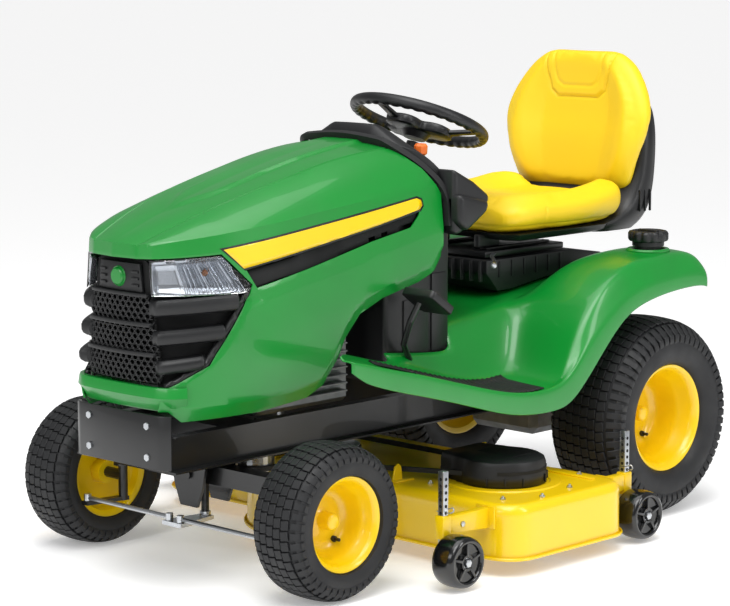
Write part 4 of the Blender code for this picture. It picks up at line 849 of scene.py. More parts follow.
    def fin(self, hood: Hood, z: float) -> bmesh.types.BMesh:
        """One swept fin on the left: a slab that follows the nose from the frame to the slanted rear end."""
        end = -0.708 - (0.694 - z) * 0.62
        path = []
        t = 0.0
        while True:
            shoulder, foot = hood.station(hood.band_foot, t), hood.station(hood.flank, t)
            share = (shoulder.z - z) / (shoulder.z - foot.z)
            point = shoulder.lerp(foot, share)
            if point.y > end:
                break
            path.append(Vector((point.x, point.y, 0)))
            t += 0.12
        start = Vector((self.edge_x(z) + 0.002, -0.898, 0))
        path = smooth_path([start, *path[2::4], path[-1]], 5)
        rings = []
        for i, p in enumerate(path):
            along = (path[min(i + 1, len(path) - 1)] - path[max(i - 1, 0)]).normalized()
            out = Vector((along.y, -along.x, 0))
            share = i / (len(path) - 1)
            ends = min(share / 0.10, (1 - share) / 0.10, 1.0)
            proud = -0.010 + 0.017 * smoothstep(ends)
            half = 0.0185 - 0.0015 * (0.694 - z) / 0.07
            lean = -0.006 * (1 - 2 * share)
            ring = [(-0.034, half), (-0.034, -half), (proud - 0.010, -half - 0.002), (proud - 0.002, -half + 0.003), (proud + 0.0015, -half * 0.4), (proud + 0.002, half * 0.3), (proud - 0.001, half - 0.005), (proud - 0.008, half)]
            rings.append([p + out * u + Vector((0, 0, z + v + lean)) for u, v in ring])
        return ring_loft(rings)


@dataclass
class Headlamps:
    """A lamp each side of the nose: clear cover, fluted reflector, flat inner reflector and amber bulb."""

    lens: tuple[Point2, ...] = ((-1.0, 0.718), (-0.690, 0.718), (-0.683, 0.735), (-0.754, 0.8085), (-0.86, 0.8025), (-1.0, 0.7965))
    inner_x: float = 0.0985

    def build(self, shop: Workshop, hood: Hood, skin: bmesh.types.BMesh) -> None:
        """Builds covers, reflectors, bulbs and their sockets."""
        cut = skin.copy()
        score(cut, self.lens)
        geom = cut.verts[:] + cut.edges[:] + cut.faces[:]
        bmesh.ops.bisect_plane(cut, geom=geom, plane_co=(self.inner_x, 0, 0), plane_no=(1, 0, 0), dist=1e-6)

        def in_lamp(p: Vector) -> bool:
            return p.x > self.inner_x and inside(self.lens, p.y, p.z)

        cover = hood.whole(window(cut, in_lamp, 0.001))
        wall(shop.piece("lamp_covers", cover, LENS, "hood", ("headlight_left", "headlight_right"), smooth=60), 0.0022)
        wall(shop.piece("lamp_reflectors", hood.whole(self.bowl(hood)), REFLECTOR, "hood", smooth=60), 0.002)
        bulbs = bmesh.new()
        sockets = bmesh.new()
        for side, _ in SIDES:
            at, tip = Vector((0.164, -0.766, 0.768)), Vector((0.183, -0.789, 0.768))
            along = (tip - at).normalized()
            glass = turned([(0.0, 0.030), (0.004, 0.029), (0.007, 0.025), (0.008, 0.018), (0.0075, 0.004), (0.0, 0.0)], at, along, 24)
            joined(bulbs, moved(glass, flipped(side)))
            joined(sockets, moved(rod(at - along * 0.008, at + along * 0.004, 0.0125, 24, 0.0012), flipped(side)))
        shop.piece("lamp_bulbs", bulbs, AMBER, "hood")
        shop.piece("lamp_sockets", sockets, ZINC, "hood")
        cut.free()

    def bowl(self, hood: Hood) -> bmesh.types.BMesh:
        """The left reflector: a shallow bowl behind the cover, fluted upright over its outer part."""
        columns, rows = 120, 10
        bm = bmesh.new()
        grid = bmesh.ops.create_grid(bm, x_segments=columns, y_segments=rows, size=0.5)
        for index, vert in enumerate(grid["verts"]):
            i, j = index % (columns + 1), index // (columns + 1)
            share, up = i / columns, j / rows
            rear = -0.692 - 0.060 * up
            low, high = 0.7205, 0.7955 + 0.011 * share
            z = low + (high - low) * up
            y = -0.892 + (rear + 0.892) * share
            t = 0.0
            for _ in range(24):
                t += (y - self.on_side(hood, t, z).y) * 14
                t = max(0.0, t)
            point = self.on_side(hood, t, z)
            along = (self.on_side(hood, t + 0.05, z) - self.on_side(hood, max(t - 0.05, 0.0), z)).normalized()
            out = Vector((along.y, -along.x, 0.0)).normalized()
            rim = min(1.0, share / 0.06, (1 - share) / 0.06, up / 0.14, (1 - up) / 0.14)
            flute = smoothstep((share - 0.24) / 0.08) * 0.0024 * math.cos(2 * math.pi * share * 21) * min(1.0, rim * 1.5)
            vert.co = point - out * (0.0045 + 0.016 * smoothstep(rim) - flute)
        return bm

    def on_side(self, hood: Hood, t: float, z: float) -> Vector:
        """A point on the hood's side at a running station and a height."""
        above, below = hood.station(hood.shoulder, t), hood.station(hood.band_foot, t)
        return above.lerp(below, (above.z - z) / (above.z - below.z))


# ---- wheels ----------------------------------------------------------------------------------------
@dataclass
class Wheel:
    """One pneumatic wheel: turf tyre with moulded blocks and a deep pressed rim with its hub and valve.

    Attributes:
        kind: "front" or "rear".
        side: +1 for left, -1 for right.
        word: "left" or "right".
        radius: tyre radius; width: tyre width; rim: rim radius.
        blocks: number of tread rows round the tyre.
        columns: block columns across the crown.
        slant: how far a row runs round the tyre, as a share of its pitch per column.
    """

    kind: str
    side: int
    word: str
    radius: float
    width: float
    rim: float
    blocks: int
    columns: int
    slant: float
    tread: float = 0.0052

    def centre(self) -> Vector:
        """Middle of the wheel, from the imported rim's box, in tractor coordinates."""
        low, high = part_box(f"{self.kind}_tyre_{self.word}")
        return (low + high) / 2

    def crown(self, across: float) -> float:
        """Radius of the tread's surface at a distance from the wheel's middle plane."""
        share = min(1.0, abs(across) / (self.width * 0.5))
        return self.radius - 0.055 * self.width * share**2 - 0.16 * self.width * share**6

    def carcass(self) -> list[Point2]:
        """Closed section of the smooth tyre under its tread."""
        half = self.width / 2
        bead = self.rim - 0.010
        height = self.radius - bead
        side = [
            (bead, half * 0.70), (self.rim + 0.001, half * 0.765), (self.rim + 0.003, half * 0.83), (bead + 0.16 * height, half * 0.905),
            (bead + 0.28 * height, half * 0.960), (bead + 0.42 * height, half * 0.978), (bead + 0.55 * height, half * 0.962),
            (bead + 0.68 * height, half * 0.920), (bead + 0.79 * height, half * 0.865),
        ]
        crown = []
        for i in range(9):
            across = half * (0.84 - 0.21 * i)
            crown.append((self.crown(across) - self.tread, across))
        return side + crown + [(r, -a) for r, a in reversed(side)]

    def block_matrix(self, turn: float, across: float, lean: float) -> Matrix:
        """Place of a tread block: local X across the tyre, Y round it, Z outwards."""
        step = 0.002
        slope = math.atan2(self.crown(across + step) - self.crown(across - step), 2 * step)
        place = Matrix.Rotation(turn, 4, "X") @ Matrix.Translation((across, 0, self.crown(across)))
        return place @ Matrix.Rotation(-slope, 4, "Y") @ Matrix.Rotation(lean, 4, "Z")

    def tread_blocks(self) -> bmesh.types.BMesh:
        """Every block of the tread about the X axis: slanted rows on the crown and long lugs on the shoulders."""
        pitch = 2 * math.pi / self.blocks
        column = self.width * 0.70 / self.columns
        arc = pitch * self.radius
        one = block((-column * 0.455, -arc * 0.425, -0.006), (column * 0.455, arc * 0.425, 0.0002), 0.0012, 1)
        places = []
        for j in range(self.columns):
            across = (j - (self.columns - 1) / 2) * column
            lean = math.atan(self.slant * arc / column) * 0.75
            for i in range(self.blocks):
                turn = (i + self.slant * j) * pitch
                places.append(self.block_matrix(turn, across, lean))
        out = copies(one, places)
        half = self.width / 2
        lug = prism(self.lug_section(half * 0.735), "Y", -arc * 0.30, arc * 0.30, 0.0011, 1)
        places = [
            Matrix.Rotation((i + (0.5 if side > 0 else 0.0)) * pitch, 4, "X") @ Matrix.Diagonal((side, 1, 1, 1))
            for i in range(self.blocks) for side in (1, -1)
        ]
        return joined(out, copies(lug, places))

    def lug_section(self, low: float) -> list[Point2]:
        """Section (across, radius) of a shoulder lug that runs over the edge and down the sidewall."""
        half = self.width / 2
        height = self.radius - (self.rim - 0.010)
        top = [(low + (half * 0.90 - low) * i / 4, self.crown(low + (half * 0.90 - low) * i / 4)) for i in range(5)]
        edge = [(half * 0.962, self.crown(half * 0.90) - 0.008), (half * 0.988, self.radius - 0.30 * height), (half * 0.992, self.radius - 0.42 * height)]
        under = [(half * 0.965, self.radius - 0.48 * height), (half * 0.90, self.radius - 0.36 * height), (low, self.crown(low) - 0.008)]
        return top + edge + under

    def rim_section(self) -> list[Point2]:
        """Closed section of the pressed rim from the axis out and back, dished deep on its outer face."""
        half = self.width * 0.40
        r = self.rim
        disc = -0.13 * self.width
        cap = max(disc + 0.030, 0.026 if self.kind == "front" else 0.020)
        wall_at = 0.0035
        face = [
            (0.0, cap), (0.013, cap), (0.018, cap - 0.0015), (0.0205, cap - 0.006), (0.0215, disc + 0.012),
            (0.024, disc + 0.0095), (0.034, disc + 0.008), (r * 0.46, disc + 0.001), (r * 0.56, disc - 0.001), (r * 0.65, disc + 0.004),
            (r * 0.705, disc + 0.014), (r * 0.735, disc + 0.028), (r * 0.76, half * 0.35), (r * 0.80, half * 0.50), (r * 0.845, half * 0.62),
            (r * 0.872, half * 0.78), (r * 0.905, half * 0.90), (r * 0.945, half * 0.965), (r * 0.975, half), (r, half + 0.0005),
            (r + 0.0015, half - 0.002), (r - 0.001, half - 0.005), (r - 0.0115, half - 0.009),
        ]
        back = [
            (r - 0.0115, -half + 0.009), (r, -half + 0.004), (r + 0.001, -half), (r - 0.003, -half), (r - 0.014, -half + 0.006),
            (r * 0.85, -half * 0.6), (r * 0.70, disc - wall_at * 2.4), (r * 0.5, disc - wall_at * 1.6), (0.032, disc - wall_at), (0.030, -half * 0.85), (0.0, -half * 0.85),
        ]
        return face + back

    def build(self, shop: Workshop) -> None:
        """Builds tyre, rim, valve and hub cap of this wheel."""
        middle = self.centre() - shop.origin
        place = Matrix.Translation(middle) @ Matrix.Rotation(0 if self.side > 0 else math.pi, 4, "Z")
        body = f"{self.kind}_wheel_{self.word}"
        tyre = joined(turned(self.carcass(), (0, 0, 0), (1, 0, 0), 96, closed=True), self.tread_blocks())
        shop.piece(f"{self.kind}_turf_tyre_{self.word}", moved(tyre, place), RUBBER, body, (f"{self.kind}_tyre_{self.word}",), smooth=40)
        rim = turned(self.rim_section(), (0, 0, 0), (1, 0, 0), 72)
        shop.piece(f"{self.kind}_pressed_rim_{self.word}", moved(rim, place), YELLOW, body, (f"{self.kind}_rim_{self.word}",), smooth=45)
        reach = self.rim * 0.60
        angle = math.radians(-52)
        at = Vector((-0.13 * self.width + 0.004, reach * math.cos(angle), reach * math.sin(angle)))
        valve = joined(
            rod(at - Vector((0.010, 0, 0)), at + Vector((0.004, 0, 0)), 0.0075, 20, 0.0012),
            rod(at, at + Vector((0.018, 0, 0)), 0.0042, 16, 0.0008),
        )
        shop.piece(f"{self.kind}_valve_{self.word}", moved(valve, place), PLASTIC, body)


def build_wheels(shop: Workshop) -> None:
    """All four road wheels."""
    for side, word in SIDES:
        Wheel("front", side, word, 0.188, 0.160, 0.114, 46, 5, 0.12).build(shop)
        Wheel("rear", side, word, 0.267, 0.240, 0.143, 60, 7, 0.12).build(shop)


# ---- seat ------------------------------------------------------------------------------------------
def blend_rows(rows: Sequence[Sequence[float]], steps: int) -> list[list[float]]:
    """Rows of numbers smoothed between stations, a few steps each."""
    ends = [[2 * a - b for a, b in zip(rows[0], rows[1])], *rows, [2 * a - b for a, b in zip(rows[-1], rows[-2])]]
    out = []
    for p, q, r, s in zip(ends, ends[1:], ends[2:], ends[3:]):
        for i in range(steps):
            t = i / steps
            out.append([0.5 * (2 * b + (c - a) * t + (2 * a - 5 * b + 4 * c - d) * t * t + (3 * b - a - 3 * c + d) * t**3) for a, b, c, d in zip(p, q, r, s)])
    return [*out, list(rows[-1])]


@dataclass
class Seat:
    """The high-backed bucket seat: two vinyl-covered foam pads on a black moulded shell.

    Cushion rows are (y, half width, underside, top, dish); backrest rows (z, half width, front y, depth, dish).
    """

    cushion: tuple[tuple[float, ...], ...] = (
        (0.268, 0.165, 0.790, 0.826, 0.002), (0.276, 0.198, 0.776, 0.842, 0.003), (0.305, 0.224, 0.769, 0.862, 0.006),
        (0.370, 0.238, 0.7680, 0.872, 0.014), (0.470, 0.246, 0.7680, 0.872, 0.026), (0.570, 0.247, 0.7680, 0.878, 0.040),
        (0.650, 0.242, 0.7680, 0.892, 0.056), (0.705, 0.232, 0.7700, 0.902, 0.060), (0.738, 0.214, 0.7800, 0.900, 0.052))
    backrest: tuple[tuple[float, ...], ...] = (
        (0.845, 0.180, 0.772, 0.040, 0.004), (0.870, 0.205, 0.754, 0.062, 0.016), (0.930, 0.226, 0.744, 0.080, 0.036),
        (0.990, 0.246, 0.744, 0.088, 0.044), (1.050, 0.254, 0.753, 0.090, 0.046), (1.105, 0.240, 0.766, 0.088, 0.040),
        (1.155, 0.212, 0.781, 0.082, 0.028), (1.195, 0.178, 0.795, 0.072, 0.014), (1.222, 0.138, 0.808, 0.054, 0.004), (1.231, 0.104, 0.818, 0.036, 0.0))

    def ring(self, half: float, low: float, high: float, dish: float) -> list[Point2]:
        """A pillow section as (u, v): rounded sides and a top that dips between two bolsters."""
        points = []
        count = 44
        middle, tall = (low + high) / 2, (high - low) / 2
        for i in range(count):
            t = 2 * math.pi * i / count
            c, s = math.cos(t), math.sin(t)
            u = half * math.copysign(abs(c) ** 0.62, c)
            v = middle + tall * math.copysign(abs(s) ** 0.72, s)
            if s > 0:
                v -= dish * (1 - smoothstep((abs(u) / half - 0.38) / 0.46)) * min(1.0, s * 1.5)
            points.append((u, v))
        return points

    def build(self, shop: Workshop) -> None:
        """Builds the pads, the moulded seams, the drain slot and the shell."""
        rings = [[(u, y, v) for u, v in self.ring(half, low, high, dish)] for y, half, low, high, dish in blend_rows(self.cushion, 4)]
        cushion = shop.piece("seat_cushion_pad", ring_loft(rings), VINYL, "seat", ("seat_cushion",), smooth=70)
        rings = []
        for z, half, front, depth, dish in blend_rows(self.backrest, 4):
            rings.append([(u, -v, z) for u, v in self.ring(half, -front - depth, -front, dish)])
        back = shop.piece("seat_back_pad", ring_loft(rings), VINYL, "seat", ("seat_backrest",), smooth=70)
        for pad, cap in ((cushion, 0.007), (back, 0.006)):
            plump(pad, cap)
        self.press_seams(shop, cushion, back)
        self.build_shell(shop)

    def press_seams(self, shop: Workshop, cushion: bpy.types.Object, back: bpy.types.Object) -> None:
        """Presses the head panel's welded outline into the back and one cross seam into the cushion's side."""
        head = [(-0.118, 1.225), (-0.108, 1.165), (-0.094, 1.118), (-0.070, 1.100), (0.070, 1.100), (0.094, 1.118), (0.108, 1.165), (0.118, 1.225)]
        inner = [(-0.088, 1.225), (-0.082, 1.170), (-0.070, 1.142), (-0.050, 1.130), (0.050, 1.130), (0.070, 1.142), (0.082, 1.170), (0.088, 1.225)]
        for vert in back.data.vertices:
            at = vert.co - shop.origin
            if vert.normal.y < -0.3:
                away = distance([*head, *reversed(head)], at.x, at.z)
                near = distance([*inner, *reversed(inner)], at.x, at.z)
                sink = 0.0050 * math.exp(-((away / 0.0050) ** 2)) + 0.0032 * math.exp(-((near / 0.0045) ** 2))
                raised = 0.0035 if inside(head, at.x, at.z) else 0.0
                vert.co.y += sink - raised
        for vert in cushion.data.vertices:
            at = vert.co - shop.origin
            if abs(at.x) > 0.12 and at.z < 0.835:
                vert.co.x -= math.copysign(0.0022, at.x) * math.exp(-(((at.y - 0.395) / 0.0035) ** 2))
            if at.z < 0.80:
                vert.co -= vert.normal * 0.0025 * math.exp(-(((at.z - 0.786) / 0.004) ** 2))
        # Painted shade: a near-black block sunk into the cushion's rear stands in for the shade inside the drain slot.
        slot = block((-0.055, 0.700, 0.8395), (0.055, 0.728, 0.8475), 0.003)
        moved(slot, Matrix.Translation((0, 0.716, 0.843)) @ Matrix.Rotation(math.radians(34), 4, "X") @ Matrix.Translation((0, -0.716, -0.843)))
        shop.piece("seat_drain_slot", slot, SHADOW, "seat")

    def build_shell(self, shop: Workshop) -> None:
        """The black shell under and behind the pads, with its hinge cheeks."""
        rows = blend_rows((
            (0.742, 0.196, 0.640, 0.850), (0.765, 0.214, 0.655, 0.868), (0.800, 0.222, 0.735, 0.880), (0.850, 0.226, 0.775, 0.888),
            (0.920, 0.226, 0.800, 0.893), (1.000, 0.222, 0.810, 0.898), (1.060, 0.206, 0.825, 0.902), (1.098, 0.178, 0.845, 0.905)), 3)
        rings = []
        for z, half, front, rear in rows:
            ring = []
            for i in range(28):
                t = 2 * math.pi * i / 28
                c, s = math.cos(t), math.sin(t)
                ring.append((half * math.copysign(abs(c) ** 0.5, c), (front + rear) / 2 + (rear - front) / 2 * math.copysign(abs(s) ** 0.5, s), z))
            rings.append(ring)
        pan = [
            [(x, y, z) for x, y in ((-w, f), (-w * 0.8, f - 0.02), (w * 0.8, f - 0.02), (w, f), (w, 0.66), (w * 0.92, 0.70), (-w * 0.92, 0.70), (-w, 0.66))]
            for z, w, f in ((0.744, 0.180, 0.350), (0.752, 0.205, 0.320), (0.7665, 0.214, 0.306))
        ]
        hinges = [block((side * 0.081, 0.274, 0.726), (side * 0.099, 0.360, 0.7600), 0.003) for side in (1, -1)]
        bm = joined(ring_loft(rings), ring_loft(pan), *hinges)
        for side in (1, -1):
            for k in range(3):
                joined(bm, block((side * 0.222, 0.800 + 0.022 * k, 0.790), (side * 0.2285, 0.806 + 0.022 * k, 0.850), 0.002))
        shop.piece("seat_moulded_shell", bm, PLASTIC, "seat", ("seat_shell",), smooth=45)


def plump(pad: bpy.types.Object, cap: float) -> None:
    """Remeshes a pad evenly, blows it up a little as cloth under pressure, and smooths it.

    Args:
        pad: the closed pad, changed in place.
        cap: the furthest that a point may move, in metres.
    """
    voxel = 0.006
    modifier(pad, "REMESH", mode="VOXEL", voxel_size=voxel)
    bake(pad)
    rest = [v.co.copy() for v in pad.data.vertices]
    modifier(pad, "CLOTH")
    cloth = pad.modifiers["cloth"]
    cloth.settings.use_pressure = True
    cloth.settings.uniform_pressure_force = 4.0
    cloth.settings.effector_weights.gravity = 0.0
    scene = bpy.context.scene
    for frame in range(1, 21):
        scene.frame_set(frame)
    bake(pad)
    scene.frame_set(1)
    for vert, start in zip(pad.data.vertices, rest):
        shift = vert.co - start
        if shift.length > cap:
            vert.co = start + shift.normalized() * cap
    bm = bmesh.new()
    bm.from_mesh(pad.data)
    for _ in range(3):
        bmesh.ops.smooth_vert(bm, verts=bm.verts, factor=0.5, use_axis_x=True, use_axis_y=True, use_axis_z=True)
    bmesh.ops.subdivide_edges(bm, edges=bm.edges[:], cuts=1, use_grid_fill=True, smooth=1.0)
    bmesh.ops.smooth_vert(bm, verts=bm.verts, factor=0.5, use_axis_x=True, use_axis_y=True, use_axis_z=True)
    bm.to_mesh(pad.data)
    bm.free()
    pad.data.shade_smooth()


def bake(obj: bpy.types.Object) -> None:
    """Replaces an object's mesh by what its modifiers make of it."""
    graph = bpy.context.evaluated_depsgraph_get()
    made = bpy.data.meshes.new_from_object(obj.evaluated_get(graph), depsgraph=graph)
    old = obj.data
    obj.modifiers.clear()
    obj.data = made
    for slot in old.materials:
        if slot is not None and not made.materials:
            made.materials.append(slot)
    bpy.data.meshes.remove(old)


# ---- fender deck -----------------------------------------------------------------------------------
@dataclass
class FenderDeck:
    """The green fender deck: footrests with raised rims, the tunnel between them and the arches over the rear wheels.

    Stations are (y, rim foot, rim top, footrest outer z, footrest inner z, tunnel z).
    """

    stations: tuple[tuple[float, ...], ...] = (
        (-0.585, 0.540, 0.566, 0.566, 0.566, 0.560), (-0.540, 0.510, 0.556, 0.556, 0.560, 0.556), (-0.500, 0.496, 0.545, 0.546, 0.552, 0.554),
        (-0.420, 0.472, 0.525, 0.524, 0.534, 0.552), (-0.350, 0.455, 0.509, 0.506, 0.516, 0.550), (-0.235, 0.424, 0.477, 0.472, 0.484, 0.549), (-0.120, 0.390, 0.445, 0.440, 0.452, 0.550),
        (-0.050, 0.370, 0.427, 0.420, 0.434, 0.553), (0.020, 0.356, 0.413, 0.406, 0.420, 0.560), (0.090, 0.350, 0.408, 0.400, 0.414, 0.566), (0.150, 0.350, 0.410, 0.402, 0.418, 0.574),
        (0.200, 0.355, 0.424, 0.420, 0.440, 0.582), (0.240, 0.378, 0.456, 0.478, 0.496, 0.588), (0.280, 0.412, 0.498, 0.545, 0.556, 0.594), (0.330, 0.462, 0.545, 0.606, 0.614, 0.600),
        (0.390, 0.522, 0.590, 0.656, 0.662, 0.607), (0.450, 0.568, 0.625, 0.686, 0.690, 0.615), (0.520, 0.592, 0.645, 0.702, 0.704, 0.624), (0.620, 0.608, 0.656, 0.709, 0.710, 0.634),
        (0.720, 0.614, 0.660, 0.709, 0.711, 0.640), (0.770, 0.612, 0.655, 0.698, 0.700, 0.636), (0.790, 0.606, 0.642, 0.678, 0.682, 0.630))
    half_width: float = 0.470

    def half_row(self, station: Sequence[float]) -> list[Vector]:
        """Points across the left half at one station, rim foot to centreline."""
        y, foot, rim, outer, inner, tunnel = station
        arch = smoothstep((y - 0.17) / 0.14)
        w = self.half_width
        edge = [
            (w - 0.001, foot), (w, foot + 0.010), (w - 0.001, rim - 0.008), (w - 0.004 - 0.004 * arch, rim - 0.001 + 0.010 * arch),
            (w - 0.013 - 0.008 * arch, rim + (outer - 0.012 - rim) * arch), (w - 0.020 - 0.016 * arch, outer + 0.001 - 0.003 * arch),
            (w - 0.030 - 0.024 * arch, outer), (0.370, outer + 0.003), (0.310, outer + 0.45 * (inner - outer)), (0.268 - 0.015 * arch, inner + 0.010 * (1 - arch) - 0.004 * arch),
            (0.238 - 0.020 * arch, (inner * 0.45 + tunnel * 0.55)), (0.200 - 0.012 * arch, tunnel - 0.006), (0.172, tunnel), (0.090, tunnel + 0.001), (0.0, tunnel + 0.001),
        ]
        return [Vector((x, y, z)) for x, z in edge]

    def height(self, x: float, y: float) -> float:
        """Height of the footrest's floor at a place, from the two nearest stations."""
        for a, b in zip(self.stations, self.stations[1:]):
            if a[0] <= y <= b[0]:
                t = (y - a[0]) / (b[0] - a[0])
                row = [p.lerp(q, t) for p, q in zip(self.half_row(a), self.half_row(b))]
                for p, q in zip(row, row[1:]):
                    if q.x <= x <= p.x:
                        return p.z + (q.z - p.z) * (p.x - x) / max(p.x - q.x, 1e-6)
        return self.stations[-1][3]

    def build(self, shop: Workshop) -> None:
        """Builds the deck, its mats, the filler collar and the lift lever's gate."""
        rows = [self.half_row(s) for s in self.stations]
        bm = bmesh.new()
        grid = bmesh.ops.create_grid(bm, x_segments=len(rows) - 1, y_segments=len(rows[0]) - 1, size=0.5)
        for index, vert in enumerate(grid["verts"]):
            vert.co = rows[index % len(rows)][index // len(rows)]
        gone = [
            f for f in bm.faces
            if (f.calc_center_median().y < -0.235 and f.calc_center_median().x < 0.284) or (f.calc_center_median().y < 0.02 and f.calc_center_median().x < 0.238)
        ]
        bmesh.ops.delete(bm, geom=gone, context="FACES")
        for vert in bm.verts:
            if vert.co.y < -0.40:
                vert.co.x = self.half_width - (self.half_width - vert.co.x) * (1 + (vert.co.y + 0.40) * 4.4)
        deck = Hood().whole(bm)
        crease = deck.edges.layers.float.new("crease_edge")
        for edge in deck.edges:
            if edge.is_boundary:
                edge[crease] = 0.6
        bmesh.ops.delete(deck, geom=[f for f in deck.faces if (f.calc_center_median() - Vector((0.370, 0.655, 0.711))).length < 0.02], context="FACES")
        obj = shop.piece("fender_skin", deck, GREEN, "chassis", ("fender_deck",), smooth=60)
        modifier(obj, "SUBSURF", levels=2, render_levels=2)
        modifier(obj, "SOLIDIFY", thickness=0.004, offset=-1.0)
        collar = turned([(0.041, 0.700), (0.058, 0.703), (0.060, 0.711), (0.055, 0.7155), (0.047, 0.715), (0.043, 0.711), (0.041, 0.700)], (0.370, 0.655, 0), (0, 0, 1), 48)
        shop.piece("filler_collar", collar, GREEN, "chassis")
        neck = turned([(0.0, 0.66), (0.036, 0.66), (0.036, 0.7205), (0.0, 0.7205)], (0.370, 0.655, 0), (0, 0, 1), 40)
        shop.piece("filler_neck", neck, PLASTIC, "chassis")
        self.build_cap(shop)
        self.build_mats(shop)
        gate = block((-0.293, 0.232, 0.560), (-0.257, 0.418, 0.664), 0.006)
        bmesh.ops.delete(gate, geom=[f for f in gate.faces if abs(f.normal.z) > 0.9], context="FACES")
        wall(shop.piece("lift_lever_gate", gate, PLASTIC, "chassis"), -0.003)

    def build_cap(self, shop: Workshop) -> None:
        """The filler cap: a scalloped grip on a plain skirt."""
        cap = turned([(0.0, 0.7225), (0.043, 0.7225), (0.043, 0.733), (0.052, 0.736), (0.0545, 0.741), (0.0545, 0.756), (0.051, 0.7615), (0.044, 0.763), (0.041, 0.7605), (0.016, 0.760), (0.0, 0.7605)], (0, 0, 0), (0, 0, 1), 144)
        for vert in cap.verts:
            radius = math.hypot(vert.co.x, vert.co.y)
            if radius > 0.048:
                lobe = 0.5 + 0.5 * math.cos(12 * math.atan2(vert.co.y, vert.co.x))
                vert.co.x *= 1 - 0.085 * (1 - lobe) ** 2
                vert.co.y *= 1 - 0.085 * (1 - lobe) ** 2
        bar = block((-0.032, -0.006, 0.758), (0.032, 0.006, 0.7655), 0.002)
        shop.piece("filler_cap_grip", moved(joined(cap, bar), Matrix.Translation((0.370, 0.655, 0))), PLASTIC, "fuel_cap", ("fuel_cap",), smooth=30)

    def build_mats(self, shop: Workshop) -> None:
        """Ribbed rubber mats on both footrests."""
        mats = bmesh.new()
        ys = [-0.345 + 0.0045 * i for i in range(110)]
        xs = [0.290 + 0.148 * i / 12 for i in range(13)]
        grid = bmesh.ops.create_grid(mats, x_segments=len(ys) - 1, y_segments=len(xs) - 1, size=0.5)
        for index, vert in enumerate(grid["verts"]):
            i, j = index % len(ys), index // len(ys)
            rib = 0.0018 if i % 4 in (1, 2) else 0.0
            vert.co = (xs[j], ys[i], self.height(xs[j], ys[i]) + 0.0048 + rib)
        for side, word in SIDES:
            bm = mats.copy()
            bmesh.ops.recalc_face_normals(bm, faces=bm.faces)
            if sum(f.normal.z for f in bm.faces) < 0:
                bmesh.ops.reverse_faces(bm, faces=bm.faces)
            wall(shop.piece(f"ribbed_mat_{word}", moved(bm, flipped(side)), MAT, "chassis", (f"footrest_mat_{word}",), smooth=20), 0.003)
        mats.free()


